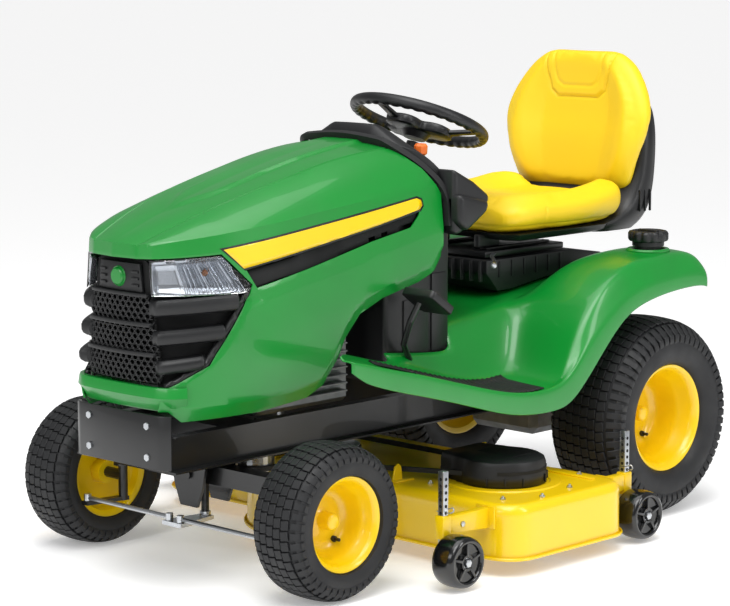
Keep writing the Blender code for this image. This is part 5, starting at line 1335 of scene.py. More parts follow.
# ---- dash and steering wheel -----------------------------------------------------------------------
@dataclass
class Dash:
    """The black dash: a low faceted hump over the column, a tower under it and a rubber strip against the hood."""

    hump: tuple[tuple[float, ...], ...] = (
        # y, z of the hump's ridge, half width at the ridge, z and half width of its foot
        (-0.118, 1.044, 0.060, 1.022, 0.140), (-0.100, 1.074, 0.070, 1.024, 0.160), (-0.062, 1.062, 0.078, 1.006, 0.196),
        (-0.030, 1.034, 0.088, 0.980, 0.214), (0.010, 0.996, 0.105, 0.944, 0.222), (0.060, 0.950, 0.130, 0.910, 0.232), (0.098, 0.914, 0.150, 0.880, 0.236))

    def build(self, shop: Workshop) -> None:
        """Builds the hump and tower in one moulding, the apron, the strip and the lower console."""
        rings = []
        for y, z, half, low, wide in blend_rows(self.hump, 3):
            rings.append([(-wide, y, low - 0.02), (-wide, y, low), (-half - 0.012, y, z - 0.006), (-half, y, z - 0.001), (-half * 0.4, y, z), (half * 0.4, y, z), (half, y, z - 0.001), (half + 0.012, y, z - 0.006), (wide, y, low), (wide, y, low - 0.02)])
        body = joined(
            rounded(ring_loft(rings), 0.006, 3, 24),
            prism([(-0.018, 0.800), (0.008, 0.800), (0.108, 0.858), (0.120, 0.890), (0.060, 0.930), (-0.018, 0.968)], "X", -0.276, 0.276, 0.012, 3),
            prism([(-0.018, 0.830), (0.012, 0.806), (0.090, 0.852), (0.098, 0.880), (-0.018, 0.905)], "X", -0.296, 0.296, 0.014, 3),
            block((-0.221, -0.214, 0.432), (0.221, 0.026, 0.862), 0.012, 3),
        )
        for side in (1, -1):
            joined(body, block((side * 0.2214, -0.150, 0.470), (side * 0.2255, -0.060, 0.640), 0.004), block((side * 0.2214, -0.046, 0.500), (side * 0.2250, 0.010, 0.700), 0.004))
        shop.piece("dash_moulding", body, PLASTIC, "chassis", ("dash_console",), smooth=35)
        path = smooth_path([Vector(p) for p in ((0.253, -0.0285, 0.822), (0.240, -0.0285, 0.900), (0.201, -0.070, 0.965), (0.150, -0.136, 1.020), (0.110, -0.146, 1.032), (0.0, -0.149, 1.040), (-0.110, -0.146, 1.032), (-0.150, -0.136, 1.020), (-0.201, -0.070, 0.965), (-0.240, -0.0285, 0.900), (-0.253, -0.0285, 0.822))], 6)
        rings = []
        for i, p in enumerate(path):
            along = (path[min(i + 1, len(path) - 1)] - path[max(i - 1, 0)]).normalized()
            back = (Vector((0, 0.75, 0.25)) - along * along.dot(Vector((0, 0.75, 0.25)))).normalized()
            out = along.cross(back).normalized()
            rings.append([p + back * u + out * v for u, v in ((0.0015, -0.012), (0.018, -0.012), (0.018, 0.004), (0.010, 0.008), (0.0015, 0.006))])
        shop.piece("hood_edge_seal", ring_loft(rings), MAT, "chassis", smooth=40)
        throttle = rod((0.148, -0.015, 0.940), (0.152, -0.012, 1.004), 0.0035, 12)
        knob = turned([(0.0, 0.0), (0.012, 0.0), (0.017, 0.005), (0.0175, 0.024), (0.013, 0.030), (0.0, 0.030)], (0.1525, -0.012, 0.994), (0.03, 0.02, 1), 8)
        shop.piece("throttle_grip", joined(throttle, knob), ORANGE, "throttle_lever", ("throttle_lever",), smooth=20)
        axis = (0, 0.584, 0.812)
        pull = turned([(0.0, -0.010), (0.007, -0.010), (0.008, 0.006), (0.016, 0.012), (0.0185, 0.017), (0.0185, 0.024), (0.014, 0.028), (0.0, 0.029)], (-0.150, 0.0575, 0.9415), axis, 40)
        shop.piece("clutch_pull", pull, YELLOW, "pto_knob", ("pto_knob",))


@dataclass
class SteeringWheel:
    """Three-spoked wheel with a thick scalloped rim and a broad padded hub."""

    centre: Point3 = (0.0, 0.147, 1.066)
    tilt: float = 22.4
    radius: float = 0.174
    tube: float = 0.0155

    def build(self, shop: Workshop) -> None:
        """Builds the rim with finger grips, the hub pad and its spokes."""
        rim = bmesh.new()
        rings = []
        around, section = 192, 20
        for i in range(around):
            t = 2 * math.pi * i / around
            out = Vector((math.cos(t), math.sin(t), 0))
            grip = 0.5 - 0.5 * math.cos(36 * t)
            ring = []
            for k in range(section):
                a = 2 * math.pi * k / section
                c, s = math.cos(a), math.sin(a)
                under = smoothstep((-c * 0.55 - s * 0.85 + 0.1) / 0.8)
                size = self.tube * (1 - 0.17 * under * grip**2)
                ring.append(out * (self.radius + c * size * 0.92) + Vector((0, 0, s * size * 1.04)))
            rings.append(ring)
        rim.free()
        rim = ring_loft([*rings], capped=False)
        loose = [e for e in rim.edges if e.is_boundary]
        bmesh.ops.bridge_loops(rim, edges=loose)
        bmesh.ops.recalc_face_normals(rim, faces=rim.faces)
        shapes = [rim]
        pad = []
        for z, grow in ((-0.034, -0.006), (-0.030, 0.0), (-0.016, 0.002), (-0.010, -0.002), (-0.007, -0.012), (-0.006, -0.030)):
            ring = []
            for i in range(72):
                t = 2 * math.pi * i / 72
                lobe = max(math.cos((t - math.radians(a)) / 1.0) for a in (-90, 20, 160))
                reach = 0.056 + 0.040 * smoothstep((lobe - 0.62) / 0.38) + grow
                ring.append((reach * math.cos(t), reach * math.sin(t), z))
            pad.append(ring)
        shapes.append(ring_loft(pad))
        shapes.append(turned([(0.0, -0.050), (0.030, -0.050), (0.040, -0.034), (0.0, -0.034)], (0, 0, 0), (0, 0, 1), 40))
        for angle in (-90, 20, 160):
            turn = Matrix.Rotation(math.radians(angle), 4, "Z")
            rows = ((0.070, 0.044, -0.022), (0.100, 0.030, -0.017), (0.130, 0.022, -0.010), (0.168, 0.020, -0.002))
            spoke = ring_loft([[(r, w * 0.5 * a, z + b) for a, b in ((-1, -0.003), (-0.8, 0.0045), (0, 0.006), (0.8, 0.0045), (1, -0.003), (0.7, -0.007), (-0.7, -0.007))] for r, w, z in rows])
            shapes.append(moved(spoke, turn))
        wheel = joined(*shapes)
        place = Matrix.Translation(self.centre) @ Matrix.Rotation(-math.radians(self.tilt), 4, "X")
        shop.piece("steering_rim_and_pad", moved(wheel, place), PLASTIC, "steering_wheel", ("steering_wheel",), smooth=40)
        boot = turned([(0.026, -0.20), (0.036, -0.19), (0.030, -0.12), (0.022, -0.09), (0.0188, -0.085), (0.0188, -0.20)], (0, 0, 0), (0, 0, 1), 40, closed=True)
        shop.piece("column_boot", moved(boot, place), MAT, "chassis")


# ---- controls --------------------------------------------------------------------------------------
@dataclass
class Controls:
    """Pedals, the lift lever, the seat's mount and its slide lever."""

    def build(self, shop: Workshop) -> None:
        """Builds every hand and foot control."""
        self.build_pedals(shop)
        grip = bent_bar([(-0.275, 0.330, 0.575), (-0.276, 0.322, 0.640), (-0.282, 0.296, 0.740), (-0.289, 0.274, 0.800)], 0.0058, 14)
        knob = turned([(0.0, 0.0), (0.011, 0.002), (0.0135, 0.010), (0.012, 0.045), (0.0145, 0.080), (0.012, 0.090), (0.0, 0.092)], (-0.2895, 0.2725, 0.793), (-0.06, -0.10, 1), 32)
        shop.piece("lift_lever_bar", grip, FRAME_BLACK, "lift_lever", ("lift_lever",))
        shop.piece("lift_lever_grip", knob, PLASTIC, "lift_lever")
        mount = joined(
            prism([(0.252, 0.697), (0.252, 0.662), (0.300, 0.612), (0.360, 0.613), (0.450, 0.626), (0.590, 0.643), (0.735, 0.652), (0.735, 0.678), (0.600, 0.697)], "X", -0.147, 0.147, 0.004),
        )
        for k in range(9):
            x = -0.128 + 0.032 * k
            joined(mount, block((x - 0.003, 0.243, 0.640), (x + 0.003, 0.256, 0.694), 0.001))
        for side in (1, -1):
            for k in range(6):
                joined(mount, block((side * 0.146, 0.300 + 0.05 * k, 0.648), (side * 0.1505, 0.306 + 0.05 * k, 0.692), 0.001))
        shop.piece("seat_pedestal", mount, PLASTIC, "chassis", ("seat_mount",))
        lever = joined(
            bent_bar([(0.118, 0.320, 0.7095), (0.150, 0.268, 0.709), (0.190, 0.232, 0.706), (0.222, 0.196, 0.700)], 0.0048, 12),
            rod((0.214, 0.205, 0.7015), (0.232, 0.184, 0.698), 0.0075, 16, 0.002),
        )
        shop.piece("seat_slide_lever", lever, ZINC, "seat_carriage")
        plate = joined(block((-0.130, 0.266, 0.7015), (0.130, 0.589, 0.7175), 0.003), block((-0.105, 0.300, 0.7175), (-0.080, 0.560, 0.7240), 0.002), block((0.080, 0.300, 0.7175), (0.105, 0.560, 0.7240), 0.002))
        shop.piece("seat_slide", plate, FRAME_BLACK, "seat_carriage", ("seat_carriage",))

    def build_pedals(self, shop: Workshop) -> None:
        """The big brake pad on its arm and the two small drive pedals."""
        pad = prism([(-0.054, -0.040), (-0.046, -0.048), (0.046, -0.048), (0.054, -0.040), (0.054, 0.038), (0.044, 0.048), (-0.044, 0.048), (-0.054, 0.038)], "Z", -0.0105, 0.0115, 0.0045, 3)
        place = Matrix.Translation((0.326, -0.170, 0.652)) @ Matrix.Rotation(math.radians(-35), 4, "X")
        shop.piece("brake_pad", moved(pad, place), PLASTIC, "brake_pedal", smooth=30)
        for x, y, z, word in ((-0.33, -0.33, 0.60, "forward"), (-0.33, -0.19, 0.56, "reverse")):
            tread = turned([(0.0, 0.0145), (0.030, 0.0140), (0.036, 0.0105), (0.037, 0.004), (0.034, 0.0), (0.0, 0.0)], (0, 0, 0), (0, 0, 1), 36)
            moved(tread, Matrix.Translation((x, y, z)) @ Matrix.Rotation(math.radians(-25), 4, "X") @ Matrix.Diagonal((1.0, 0.85, 0.75, 1.0)))
            shop.piece(f"{word}_tread", tread, MAT, f"{word}_pedal")


# ---- mower deck ------------------------------------------------------------------------------------
@dataclass
class MowerDeck:
    """The pressed deck under the tractor with its belt covers, hangers, spindles and gauge wheels."""

    low: float = 0.0455
    high: float = 0.1795
    corner: float = 0.075

    def outline(self, grow: float) -> list[Point2]:
        """Outline of the deck seen from above, pushed outwards by grow."""
        side, front, rear = 0.6345 + grow, -0.2025 - grow, 0.2625 + grow
        r = self.corner + grow
        lobe, ly = 0.2325 + grow, -0.165
        points: list[Point2] = []
        for cx, cy, start in ((side - r, rear - r, 0), (-side + r, rear - r, 90), (-side + r, front + r, 180)):
            points += [(cx + r * math.cos(math.radians(start + 9 * i)), cy + r * math.sin(math.radians(start + 9 * i))) for i in range(11)]
        reach = math.sqrt(max(lobe**2 - (front - ly) ** 2, 0.0))
        first = math.degrees(math.atan2(front - ly, -reach))
        last = math.degrees(math.atan2(front - ly, reach))
        first += 360 if first < 0 else 0
        last += 360 if last < 0 else 0
        points += [(-reach - 0.03, front), (-reach - 0.012, front - 0.0015)]
        points += [(lobe * math.cos(math.radians(a)), ly + lobe * math.sin(math.radians(a))) for a in [first + 3 + (last - first - 6) * i / 20 for i in range(21)]]
        points += [(reach + 0.012, front - 0.0015), (reach + 0.03, front)]
        points += [(side - r + r * math.cos(math.radians(270 + 9 * i)), front + r + r * math.sin(math.radians(270 + 9 * i))) for i in range(11)]
        return points

    def build(self, shop: Workshop) -> None:
        """Builds the shell, its dressings and the four gauge wheels."""
        self.build_shell(shop)
        self.build_covers(shop)
        self.build_brackets(shop)
        self.build_chute(shop)
        for fy, end in ((-0.355, "front"), (0.340, "rear")):
            for side, word in SIDES:
                self.build_gauge(shop, side, word, fy, end)

    def build_shell(self, shop: Workshop) -> None:
        """The skirt and top as one sheet: a rolled lip round the foot and a round shoulder at the top."""
        profile = ((0.0045, 0.0500), (0.0058, 0.0475), (0.0052, 0.0452), (0.0025, 0.0452), (0.0008, 0.0485), (0.0, 0.0530), (-0.0005, 0.0700), (-0.0010, 0.1200), (-0.0015, 0.1560), (-0.0035, 0.1660), (-0.0090, 0.1745), (-0.0170, 0.1785), (-0.0300, 0.1795))
        rings = [[(x, y, z) for x, y in self.outline(grow)] for grow, z in profile]
        bm = ring_loft(rings, capped=False)
        top = [e for e in bm.edges if e.is_boundary and e.verts[0].co.z > 0.17]
        bmesh.ops.holes_fill(bm, edges=top, sides=0)
        bmesh.ops.recalc_face_normals(bm, faces=bm.faces)
        if max(bm.faces, key=lambda f: f.calc_area()).normal.z < 0:
            bmesh.ops.reverse_faces(bm, faces=bm.faces)
        for y in (-0.108, 0.168):
            bmesh.ops.bisect_plane(bm, geom=bm.verts[:] + bm.edges[:] + bm.faces[:], plane_co=(0, y, 0), plane_no=(0, 1, 0), dist=1e-6)
        bmesh.ops.bisect_plane(bm, geom=bm.verts[:] + bm.edges[:] + bm.faces[:], plane_co=(0, 0, 0.1435), plane_no=(0, 0, 1), dist=1e-6)
        gone = [f for f in bm.faces if f.calc_center_median().x < -0.60 and -0.108 < f.calc_center_median().y < 0.168 and f.calc_center_median().z < 0.1435]
        bmesh.ops.delete(bm, geom=gone, context="FACES")
        shell = shop.piece("pressed_deck", bm, YELLOW, "mower_deck", ("deck_shell",), smooth=40)
        wall(shell, 0.0030)
        details = bmesh.new()
        for x, y in ((0.402, 0.030), (-0.402, 0.030), (0.0, -0.165)):
            ring = turned([(0.118, 0.1795), (0.150, 0.1795), (0.146, 0.1825), (0.122, 0.1825), (0.118, 0.1795)], (x, y, 0), (0, 0, 1), 64, closed=True)
            joined(details, ring)
        for side in (1, -1):
            joined(details, block((side * 0.20, 0.188, 0.1790), (side * 0.56, 0.206, 0.1835), 0.002), block((side * 0.205, -0.186, 0.1790), (side * 0.235, -0.120, 0.1835), 0.002))
        shop.piece("deck_ribs", details, YELLOW, "mower_deck")
        heads = bmesh.new()
        for x, y in ((0.55, -0.14), (0.50, 0.215), (0.30, -0.13), (0.27, 0.215), (0.16, 0.16), (0.58, 0.08), (0.15, -0.25), (0.60, -0.05)):
            for side in (1, -1):
                if math.hypot(abs(x) - 0.402, y - 0.030) > 0.118:
                    joined(heads, rod((side * x, y, 0.179), (side * x, y, 0.1845), 0.0075, 6, 0.0008), rod((side * x, y, 0.184), (side * x, y, 0.189), 0.0035, 12, 0.0006))
        shop.piece("deck_bolt_heads", heads, ZINC, "mower_deck", smooth=20)

    def build_covers(self, shop: Workshop) -> None:
        """Black belt covers over the outer spindles: a walled drum, open inboard, with a hump and a slot shown as
        painted shade.
        """
        for side, word in SIDES:
            plan = []
            for i in range(41):
                t = math.radians(-118 + 236 * i / 40)
                plan.append((0.402 + 0.111 * math.cos(t), 0.030 + 0.111 * math.sin(t)))
            plan = [(0.262, -0.052), (0.330, -0.066), *plan, (0.330, 0.126), (0.262, 0.112)]
            rows = []
            for grow, z in ((0.0, 0.1812), (0.0, 0.206), (-0.0015, 0.210), (-0.0018, 0.232), (-0.006, 0.243), (-0.016, 0.2485)):
                row = []
                for i, (x, y) in enumerate(plan):
                    p, q = plan[max(i - 1, 0)], plan[min(i + 1, len(plan) - 1)]
                    n = Vector((q[1] - p[1], p[0] - q[0])).normalized()
                    row.append((x + n.x * grow, y + n.y * grow, z))
                rows.append(row)
            bm = bmesh.new()
            grid = [[bm.verts.new(p) for p in row] for row in rows]
            for a, b in zip(grid, grid[1:]):
                for i in range(len(a) - 1):
                    bm.faces.new((a[i], a[i + 1], b[i + 1], b[i]))
            bm.faces.new(grid[-1])
            bmesh.ops.recalc_face_normals(bm, faces=bm.faces)
            if max(bm.faces, key=lambda f: f.calc_area()).normal.z < 0:
                bmesh.ops.reverse_faces(bm, faces=bm.faces)
            hood = shop.piece(f"belt_guard_{word}", moved(bm, flipped(side)), PLASTIC, "mower_deck", (f"belt_cover_{word}",), smooth=35)
            wall(hood, 0.0025)
            hump = joined(
                prism([(0.010, 0.2480), (0.095, 0.2480), (0.090, 0.2495), (0.018, 0.2495)], "X", 0.33, 0.45, 0.0005, 1),
                *[block((0.402 + 0.1085 * math.cos(a), 0.030 + 0.1085 * math.sin(a), 0.185), (0.402 + 0.1155 * math.cos(a), 0.030 + 0.1155 * math.sin(a), 0.206), 0.001) for a in (math.radians(d) for d in (-70, -46, -22, 22, 46, 70))],
            )
            shop.piece(f"belt_guard_ribs_{word}", moved(hump, flipped(side)), PLASTIC, "mower_deck")
            # Painted shade: a thin near-black band round the drum's wall stands in for the shade inside its slot.
            dark = turned([(0.1100, 0.2145), (0.1112, 0.2145), (0.1112, 0.2225), (0.1100, 0.2225)], (0.402, 0.030, 0), (0, 0, 1), 64, closed=True)
            bmesh.ops.delete(dark, geom=[f for f in dark.faces if f.calc_center_median().x < 0.42 or f.calc_center_median().y < -0.060], context="FACES")
            shop.piece(f"belt_guard_slot_{word}", moved(dark, flipped(side)), SHADOW, "mower_deck")

    def build_brackets(self, shop: Workshop) -> None:
        """Square posts with height holes shown as painted shade, their sleeves and arms, the pins and the middle
        hangers.
        """
        posts, sleeves, holes, pins = (bmesh.new() for _ in range(4))
        for side in (1, -1):
            for y, edge in ((-0.355, -0.2005), (0.340, 0.2605)):
                inward = 1 if y < 0 else -1
                x = side * 0.548
                joined(posts, block((x - 0.009, y - 0.009, 0.062), (x + 0.009, y + 0.009, 0.2845), 0.0015))
                for k in range(7):
                    z = 0.166 + 0.0165 * k
                    # Painted shade: near-black rods through the post stand in for the shade inside the height holes.
                    joined(holes, rod((x, y - 0.0096, z), (x, y + 0.0096, z), 0.0042, 16), rod((x - 0.0096, y, z), (x + 0.0096, y, z), 0.0042, 16))
                hull = joined(
                    block((x - 0.0145, y - 0.0145, 0.118), (x + 0.0145, y + 0.0145, 0.176), 0.003),
                    prism([(y + inward * 0.012, 0.172), (edge, 0.172), (edge, 0.120), (y + inward * 0.012, 0.132)], "X", x - 0.0125, x + 0.0125, 0.002),
                    prism([(edge - inward * 0.004, 0.120), (edge + inward * 0.002, 0.120), (edge + inward * 0.002, 0.176), (edge - inward * 0.004, 0.176)], "X", x - 0.030, x + 0.030, 0.0015),
                )
                joined(sleeves, hull)
                low = block((x - 0.013, y - 0.013, 0.058), (x + 0.013, y + 0.013, 0.086), 0.002)
                joined(posts, low)
                clip = bent_bar([(x - 0.020, y, 0.183), (x + 0.020, y, 0.184), (x + 0.030, y + inward * 0.004, 0.190), (x + 0.026, y + inward * 0.006, 0.197), (x + 0.012, y + inward * 0.011, 0.192), (x - 0.004, y + inward * 0.012, 0.189)], 0.0016, 8)
                joined(pins, clip, rod((x + side * 0.012, y + inward * 0.055, 0.148), (x + side * 0.017, y + inward * 0.055, 0.148), 0.0075, 6, 0.0008))
        hangers = bmesh.new()
        for side in (1, -1):
            joined(
                hangers,
                prism([(0.150, 0.180), (0.185, 0.180), (0.181, 0.222), (0.172, 0.232), (0.160, 0.232), (0.152, 0.222)], "X", side * 0.215, side * 0.221, 0.001, 1),
                prism([(-0.180, 0.180), (-0.145, 0.180), (-0.150, 0.216), (-0.160, 0.224), (-0.172, 0.216)], "X", side * 0.212, side * 0.218, 0.001, 1),
            )
            # Painted shade in the hanger's hole.
            joined(holes, rod((side * 0.2142, 0.167, 0.212), (side * 0.2222, 0.167, 0.212), 0.006, 16))
        shop.piece("gauge_posts", posts, ZINC, "mower_deck", smooth=30)
        shop.piece("gauge_sleeves", sleeves, YELLOW, "mower_deck", smooth=30)
        shop.piece("deck_hangers", hangers, YELLOW, "mower_deck")
        shop.piece("height_holes", holes, SHADOW, "mower_deck")
        shop.piece("hairpins_and_bolts", pins, ZINC, "mower_deck")

    def build_chute(self, shop: Workshop) -> None:
        """The flexible discharge chute, ribbed, on its hinge at the deck's right edge."""
        low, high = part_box("discharge_chute")
        low, high = low - shop.origin, high - shop.origin
        rows = []
        for share, drop in ((0.0, 0.0), (0.12, 0.006), (0.35, 0.022), (0.6, 0.042), (0.85, 0.066), (1.0, 0.088)):
            x = high.x - 0.012 - (high.x - 0.012 - low.x - 0.002) * share
            rows.append([(x, y, high.z - 0.009 - drop * (high.z - low.z - 0.02) / 0.088) for y in [low.y + 0.004 + (high.y - low.y - 0.008) * i / 40 for i in range(41)]])
        bm = bmesh.new()
        grid = [[bm.verts.new(p) for p in row] for row in rows]
        for a, b in zip(grid, grid[1:]):
            for i in range(len(a) - 1):
                bm.faces.new((a[i], a[i + 1], b[i + 1], b[i]))
        for row in grid:
            for i, vert in enumerate(row):
                vert.co.z += 0.0022 if i % 4 < 2 else 0.0
        bmesh.ops.recalc_face_normals(bm, faces=bm.faces)
        if sum(f.normal.z for f in bm.faces) < 0:
            bmesh.ops.reverse_faces(bm, faces=bm.faces)
        wall(shop.piece("chute_flap", bm, PLASTIC, "discharge_chute", smooth=30), 0.004)

    def build_gauge(self, shop: Workshop, side: int, word: str, y: float, end: str) -> None:
        """One glossy anti-scalp wheel: a crowned ball with wedge pockets in its outer face and a plated bolt."""
        r, half = 0.064, 0.035
        pocketed = [(0.0, half - 0.012), (0.013, half - 0.012), (0.014, half - 0.004), (0.020, half - 0.0035), (0.0215, half - 0.010)]
        face = [(0.0222, half - 0.0125), (0.046, half - 0.0095), (0.0475, half - 0.003), (0.050, half - 0.001)]
        crown = [(0.054, half - 0.0005), (0.0585, half - 0.003), (0.0615, half - 0.008), (0.0632, half - 0.016), (r, half - 0.026), (r, 0.0)]
        back = [(r, -half + 0.026), (0.0632, -half + 0.016), (0.0615, -half + 0.008), (0.0585, -half + 0.003), (0.054, -half + 0.0005), (0.016, -half), (0.0, -half)]
        wheel = turned(pocketed + face + crown + back, (0, 0, 0), (1, 0, 0), 60)
        for k in range(5):
            spoke = block((half - 0.014, 0.015, -0.0035), (half - 0.0030, 0.049, 0.0035), 0.0012)
            joined(wheel, moved(spoke, Matrix.Rotation(2 * math.pi * (k + 0.25) / 5, 4, "X")))
        place = Matrix.Translation((side * 0.597, y, 0.072)) @ Matrix.Rotation(0 if side > 0 else math.pi, 4, "Z")
        body = f"gauge_wheel_{end}_{word}"
        shop.piece(f"anti_scalp_{end}_{word}", moved(wheel, place), GLOSS_BLACK, body, (body,), smooth=40)
        bolt = joined(rod((half - 0.014, 0, 0), (half + 0.001, 0, 0), 0.0105, 6, 0.0012), rod((half - 0.012, 0, 0), (half - 0.0095, 0, 0), 0.0150, 28, 0.0006))
        shop.piece(f"anti_scalp_bolt_{end}_{word}", moved(bolt, place), ZINC, body, smooth=25)


# ---- chassis and engine ----------------------------------------------------------------------------
@dataclass
class Chassis:
    """Bumper, front axle dressings, engine, exhaust and the rear panel's vents."""

    def build(self, shop: Workshop) -> None:
        """Builds the steel and castings under the hood."""
        self.build_bumper(shop)
        self.build_axle(shop)
        self.build_engine(shop)
        self.build_rear(shop)

    def build_bumper(self, shop: Workshop) -> None:
        """A pressed steel bumper bar with folded ends and four bolts."""
        low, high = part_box("front_bumper")
        low, high = low - shop.origin, high - shop.origin
        face = [(low.x, high.y - 0.002), (low.x + 0.012, low.y + 0.008), (low.x + 0.030, low.y + 0.001), (high.x - 0.030, low.y + 0.001), (high.x - 0.012, low.y + 0.008), (high.x, high.y - 0.002)]
        back = [(x * 0.97, y + 0.005) for x, y in reversed(face)]
        bar = prism([*face, *back], "Z", low.z + 0.002, high.z - 0.002, 0.0022)
        bolts = bmesh.new()
        for side in (1, -1):
            for z in (low.z + 0.030, high.z - 0.030):
                joined(bolts, rod((side * 0.105, low.y + 0.003, z), (side * 0.105, low.y - 0.003, z), 0.0095, 6, 0.001))
        shop.piece("bumper_bar", bar, FRAME_BLACK, "chassis", ("front_bumper",))
        shop.piece("bumper_bolts", bolts, ZINC, "chassis", smooth=20)

    def build_axle(self, shop: Workshop) -> None:
        """Grease nipples, king-pin caps and the axle's pivot bolt."""
        caps = bmesh.new()
        for side, word in SIDES:
            low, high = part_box(f"knuckle_{word}")
            low, high = low - shop.origin, high - shop.origin
            x = side * 0.330
            nipple = joined(rod((x, -0.625, high.z - 0.004), (x, -0.625, high.z + 0.003), 0.011, 6, 0.001), rod((x, -0.625, high.z + 0.003), (x, -0.625, high.z + 0.010), 0.0035, 12, 0.001))
            shop.piece(f"king_pin_cap_{word}", nipple, ZINC, f"knuckle_{word}", smooth=25)
        joined(caps, rod((0, -0.660, 0.245), (0, -0.652, 0.245), 0.019, 6, 0.0015), rod((0, -0.666, 0.245), (0, -0.658, 0.245), 0.0085, 16, 0.001))
        shop.piece("axle_pivot_nut", caps, ZINC, "axle", smooth=25)

    def build_engine(self, shop: Workshop) -> None:
        """Shroud, screen, cylinder fins and the exhaust behind the grille."""
        shroud = turned([(0.0, 0.626), (0.146, 0.626), (0.149, 0.632), (0.149, 0.755), (0.140, 0.784), (0.118, 0.800), (0.100, 0.803), (0.0, 0.803)], (0, -0.435, 0), (0, 0, 1), 72)
        screen = turned([(0.0, 0.803), (0.092, 0.803), (0.094, 0.810), (0.088, 0.8135), (0.030, 0.8145), (0.0, 0.8145)], (0, -0.435, 0), (0, 0, 1), 48)
        shop.piece("blower_housing", shroud, PLASTIC, "chassis", ("engine_shroud",))
        shop.piece("rotating_screen", screen, FRAME_BLACK, "chassis")
        block_low, block_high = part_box("engine_block")
        block_low, block_high = block_low - shop.origin, block_high - shop.origin
        fins = bmesh.new()
        for k in range(9):
            z = block_low.z + 0.030 + 0.020 * k
            joined(fins, block((block_low.x - 0.006, block_low.y + 0.020, z), (block_high.x + 0.006, block_high.y - 0.030, z + 0.004), 0.0008, 1))
        for side in (1, -1):
            for k in range(2):
                joined(fins, rod((side * 0.1505, -0.520 + 0.11 * k, 0.500), (side * 0.168, -0.520 + 0.11 * k, 0.500), 0.020, 24, 0.002))
        shop.piece("cylinder_fins", fins, CAST, "chassis")
        pipes = joined(
            bent_bar([(0.100, -0.590, 0.520), (0.110, -0.660, 0.518), (0.105, -0.715, 0.500), (0.080, -0.750, 0.490)], 0.0125, 16),
            bent_bar([(-0.100, -0.590, 0.520), (-0.110, -0.660, 0.518), (-0.105, -0.715, 0.500), (-0.080, -0.750, 0.490)], 0.0125, 16),
            rod((0.128, -0.765, 0.475), (0.150, -0.765, 0.475), 0.0125, 20, 0.001),
        )
        shop.piece("exhaust_pipes", pipes, ZINC, "chassis")

    def build_rear(self, shop: Workshop) -> None:
        """The rear panel's vents."""
        vents = bmesh.new()
        for k in range(7):
            joined(vents, block((-0.150, 0.7985, 0.440 + 0.020 * k), (0.150, 0.8015, 0.448 + 0.020 * k), 0.001, 1))
        low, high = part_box("rear_hitch_plate")
        low, high = low - shop.origin, high - shop.origin
        bmesh.ops.translate(vents, verts=vents.verts, vec=(0, high.y - 0.8003, 0))
        wide = min(high.x, 0.150) / 0.150
        bmesh.ops.scale(vents, verts=vents.verts, vec=(wide * 0.8, 1, 1))
        for vert in vents.verts:
            vert.co.z = min(vert.co.z, high.z - 0.012)
        # Painted shade: near-black slats stand in for the shade inside the rear panel's vent openings.
        shop.piece("rear_vents", vents, SHADOW, "chassis")


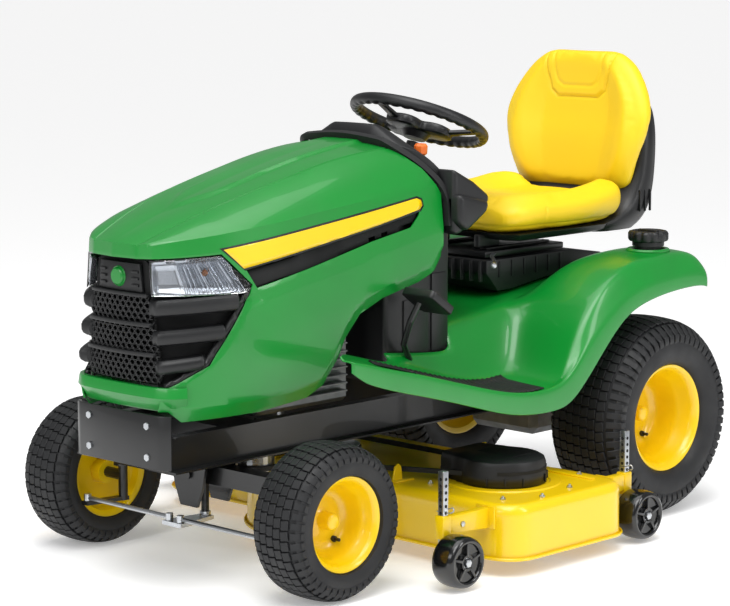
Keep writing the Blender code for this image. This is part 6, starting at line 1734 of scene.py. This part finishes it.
# ---- studio ----------------------------------------------------------------------------------------
@dataclass
class Studio:
    """Pale floor, soft lamps and the camera."""

    eye: Point3 = (4.607, -4.817, 1.576)
    azimuth: float = 44.07
    elevation: float = 8.36
    lens: float = 127.0

    def build(self, shop: Workshop) -> None:
        """Builds the floor, the world, the lamps and the camera."""
        self.build_floor()
        self.build_light(shop)
        self.build_camera(shop)

    def build_floor(self) -> None:
        """A wide floor of matt white board, lit a little from behind so that it stays white far off."""
        bm = bmesh.new()
        bmesh.ops.create_circle(bm, cap_ends=True, segments=96, radius=80.0)
        mesh = bpy.data.meshes.new("floor")
        bm.to_mesh(mesh)
        bm.free()
        made = bpy.data.materials.new("matt_white_board")
        made.use_nodes = True
        shader = made.node_tree.nodes["Principled BSDF"]
        shader.inputs["Base Color"].default_value = linear("#ffffff")
        shader.inputs["Roughness"].default_value = 0.7
        shader.inputs["Emission Color"].default_value = (1.0, 1.0, 1.0, 1.0)
        shader.inputs["Emission Strength"].default_value = 0.26
        mesh.materials.append(made)
        floor = bpy.data.objects.new("floor", mesh)
        bpy.context.scene.collection.objects.link(floor)

    def build_light(self, shop: Workshop) -> None:
        """A white surround, a broad soft sun, a key box overhead and long boxes that draw the streaks."""
        world = bpy.data.worlds.new("surround")
        world.use_nodes = True
        tree = world.node_tree
        path = add_node(tree, "ShaderNodeLightPath")
        level = add_node(tree, "ShaderNodeMapRange", {"To Min": 0.32, "To Max": 1.0}, {"Value": path.outputs["Is Camera Ray"]})
        tree.links.new(level.outputs[0], tree.nodes["Background"].inputs["Strength"])
        tree.nodes["Background"].inputs["Color"].default_value = (1.0, 1.0, 1.0, 1.0)
        bpy.context.scene.world = world
        sun = bpy.data.lights.new("soft_sun", "SUN")
        sun.angle = math.radians(35)
        sun.energy = 1.35
        high = bpy.data.objects.new("soft_sun", sun)
        high.rotation_mode = "QUATERNION"
        high.rotation_quaternion = Vector((-0.35, 0.45, -1.0)).to_track_quat("-Z", "Y")
        bpy.context.scene.collection.objects.link(high)
        middle = shop.origin + Vector((0, -0.1, 0.5))
        for name, offset, size, power in (
            ("overhead_box", (0.3, -0.4, 3.4), (3.2, 3.2), 75.0),
            ("left_strip", (3.6, 1.0, 2.2), (0.7, 3.2), 55.0),
            ("front_box", (0.4, -4.4, 1.9), (2.4, 1.3), 36.0),
            ("camera_side_box", (3.4, -3.0, 3.0), (1.6, 1.6), 16.0),
        ):
            data = bpy.data.lights.new(name, "AREA")
            data.shape = "RECTANGLE"
            data.size, data.size_y = size
            data.energy = power
            lamp = bpy.data.objects.new(name, data)
            lamp.location = middle + Vector(offset)
            lamp.rotation_mode = "QUATERNION"
            lamp.rotation_quaternion = (-Vector(offset)).to_track_quat("-Z", "Y")
            bpy.context.scene.collection.objects.link(lamp)

    def build_camera(self, shop: Workshop) -> None:
        """The camera, off the tractor's front left and a little above it."""
        data = bpy.data.cameras.new("camera")
        data.lens = self.lens
        data.sensor_width = 36.0
        data.clip_end = 300.0
        camera = bpy.data.objects.new("camera", data)
        azimuth, elevation = math.radians(self.azimuth), math.radians(self.elevation)
        look = Vector((-math.sin(azimuth) * math.cos(elevation), math.cos(azimuth) * math.cos(elevation), -math.sin(elevation)))
        camera.location = Vector(self.eye) + shop.origin
        camera.rotation_mode = "QUATERNION"
        camera.rotation_quaternion = look.to_track_quat("-Z", "Y")
        bpy.context.scene.collection.objects.link(camera)
        bpy.context.scene.camera = camera


# ---- assembly --------------------------------------------------------------------------------------
def clear_start_scene() -> None:
    """Removes whatever the empty file came with."""
    for obj in list(bpy.data.objects):
        bpy.data.objects.remove(obj)


def dress_frame_nodes(shop: Workshop) -> None:
    """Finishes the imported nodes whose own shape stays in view."""
    shop.dress(FRAME_BLACK, "frame_rail_left", "frame_rail_right", "axle_hanger", "front_bumper", "rear_hitch_plate", "front_axle",
               "knuckle_left", "knuckle_right", "steering_column", "seat_carriage", "brake_pedal", "forward_pedal", "reverse_pedal", "lift_lever")
    shop.dress(PLASTIC, "engine_shroud", "fuel_tank", "fuel_cap", "dash_console", "steering_wheel", "seat_mount", "seat_shell",
               "belt_cover_left", "belt_cover_right", "discharge_chute", "front_grille")
    shop.dress(GLOSS_BLACK, *[f"gauge_wheel_{end}_{word}" for end in ("front", "rear") for _, word in SIDES])
    shop.dress(CAST, "engine_block", "transaxle")
    shop.dress(ZINC, "muffler", "pto_clutch", "steering_sector", "tie_rod_left", "tie_rod_right", "blade_left", "blade_right", "blade_centre")
    shop.dress(MAT, "footrest_mat_left", "footrest_mat_right", "deck_belt", "pto_belt")
    shop.dress(YELLOW, "deck_shell", "pto_knob")
    shop.dress(GREEN, "fender_deck", "hood_shell")
    shop.dress(ORANGE, "throttle_lever")
    shop.dress(VINYL, "seat_cushion", "seat_backrest")


def main() -> None:
    """Loads the frame, builds every sub-assembly and the studio round it and logs the number of pieces."""
    logging.basicConfig(level=logging.INFO, format="%(name)s: %(message)s")
    clear_start_scene()
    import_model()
    shop = Workshop()
    shop.find_origin()
    dress_frame_nodes(shop)
    Hood().build(shop)
    build_wheels(shop)
    for maker in (Seat(), FenderDeck(), Dash(), SteeringWheel(), Controls(), MowerDeck(), Chassis()):
        maker.build(shop)
    Studio().build(shop)
    bpy.context.scene.view_settings.view_transform = "Standard"
    bpy.context.view_layer.update()
    LOG.info("%d pieces", len(shop.made))


if __name__ == "__main__":
    main()
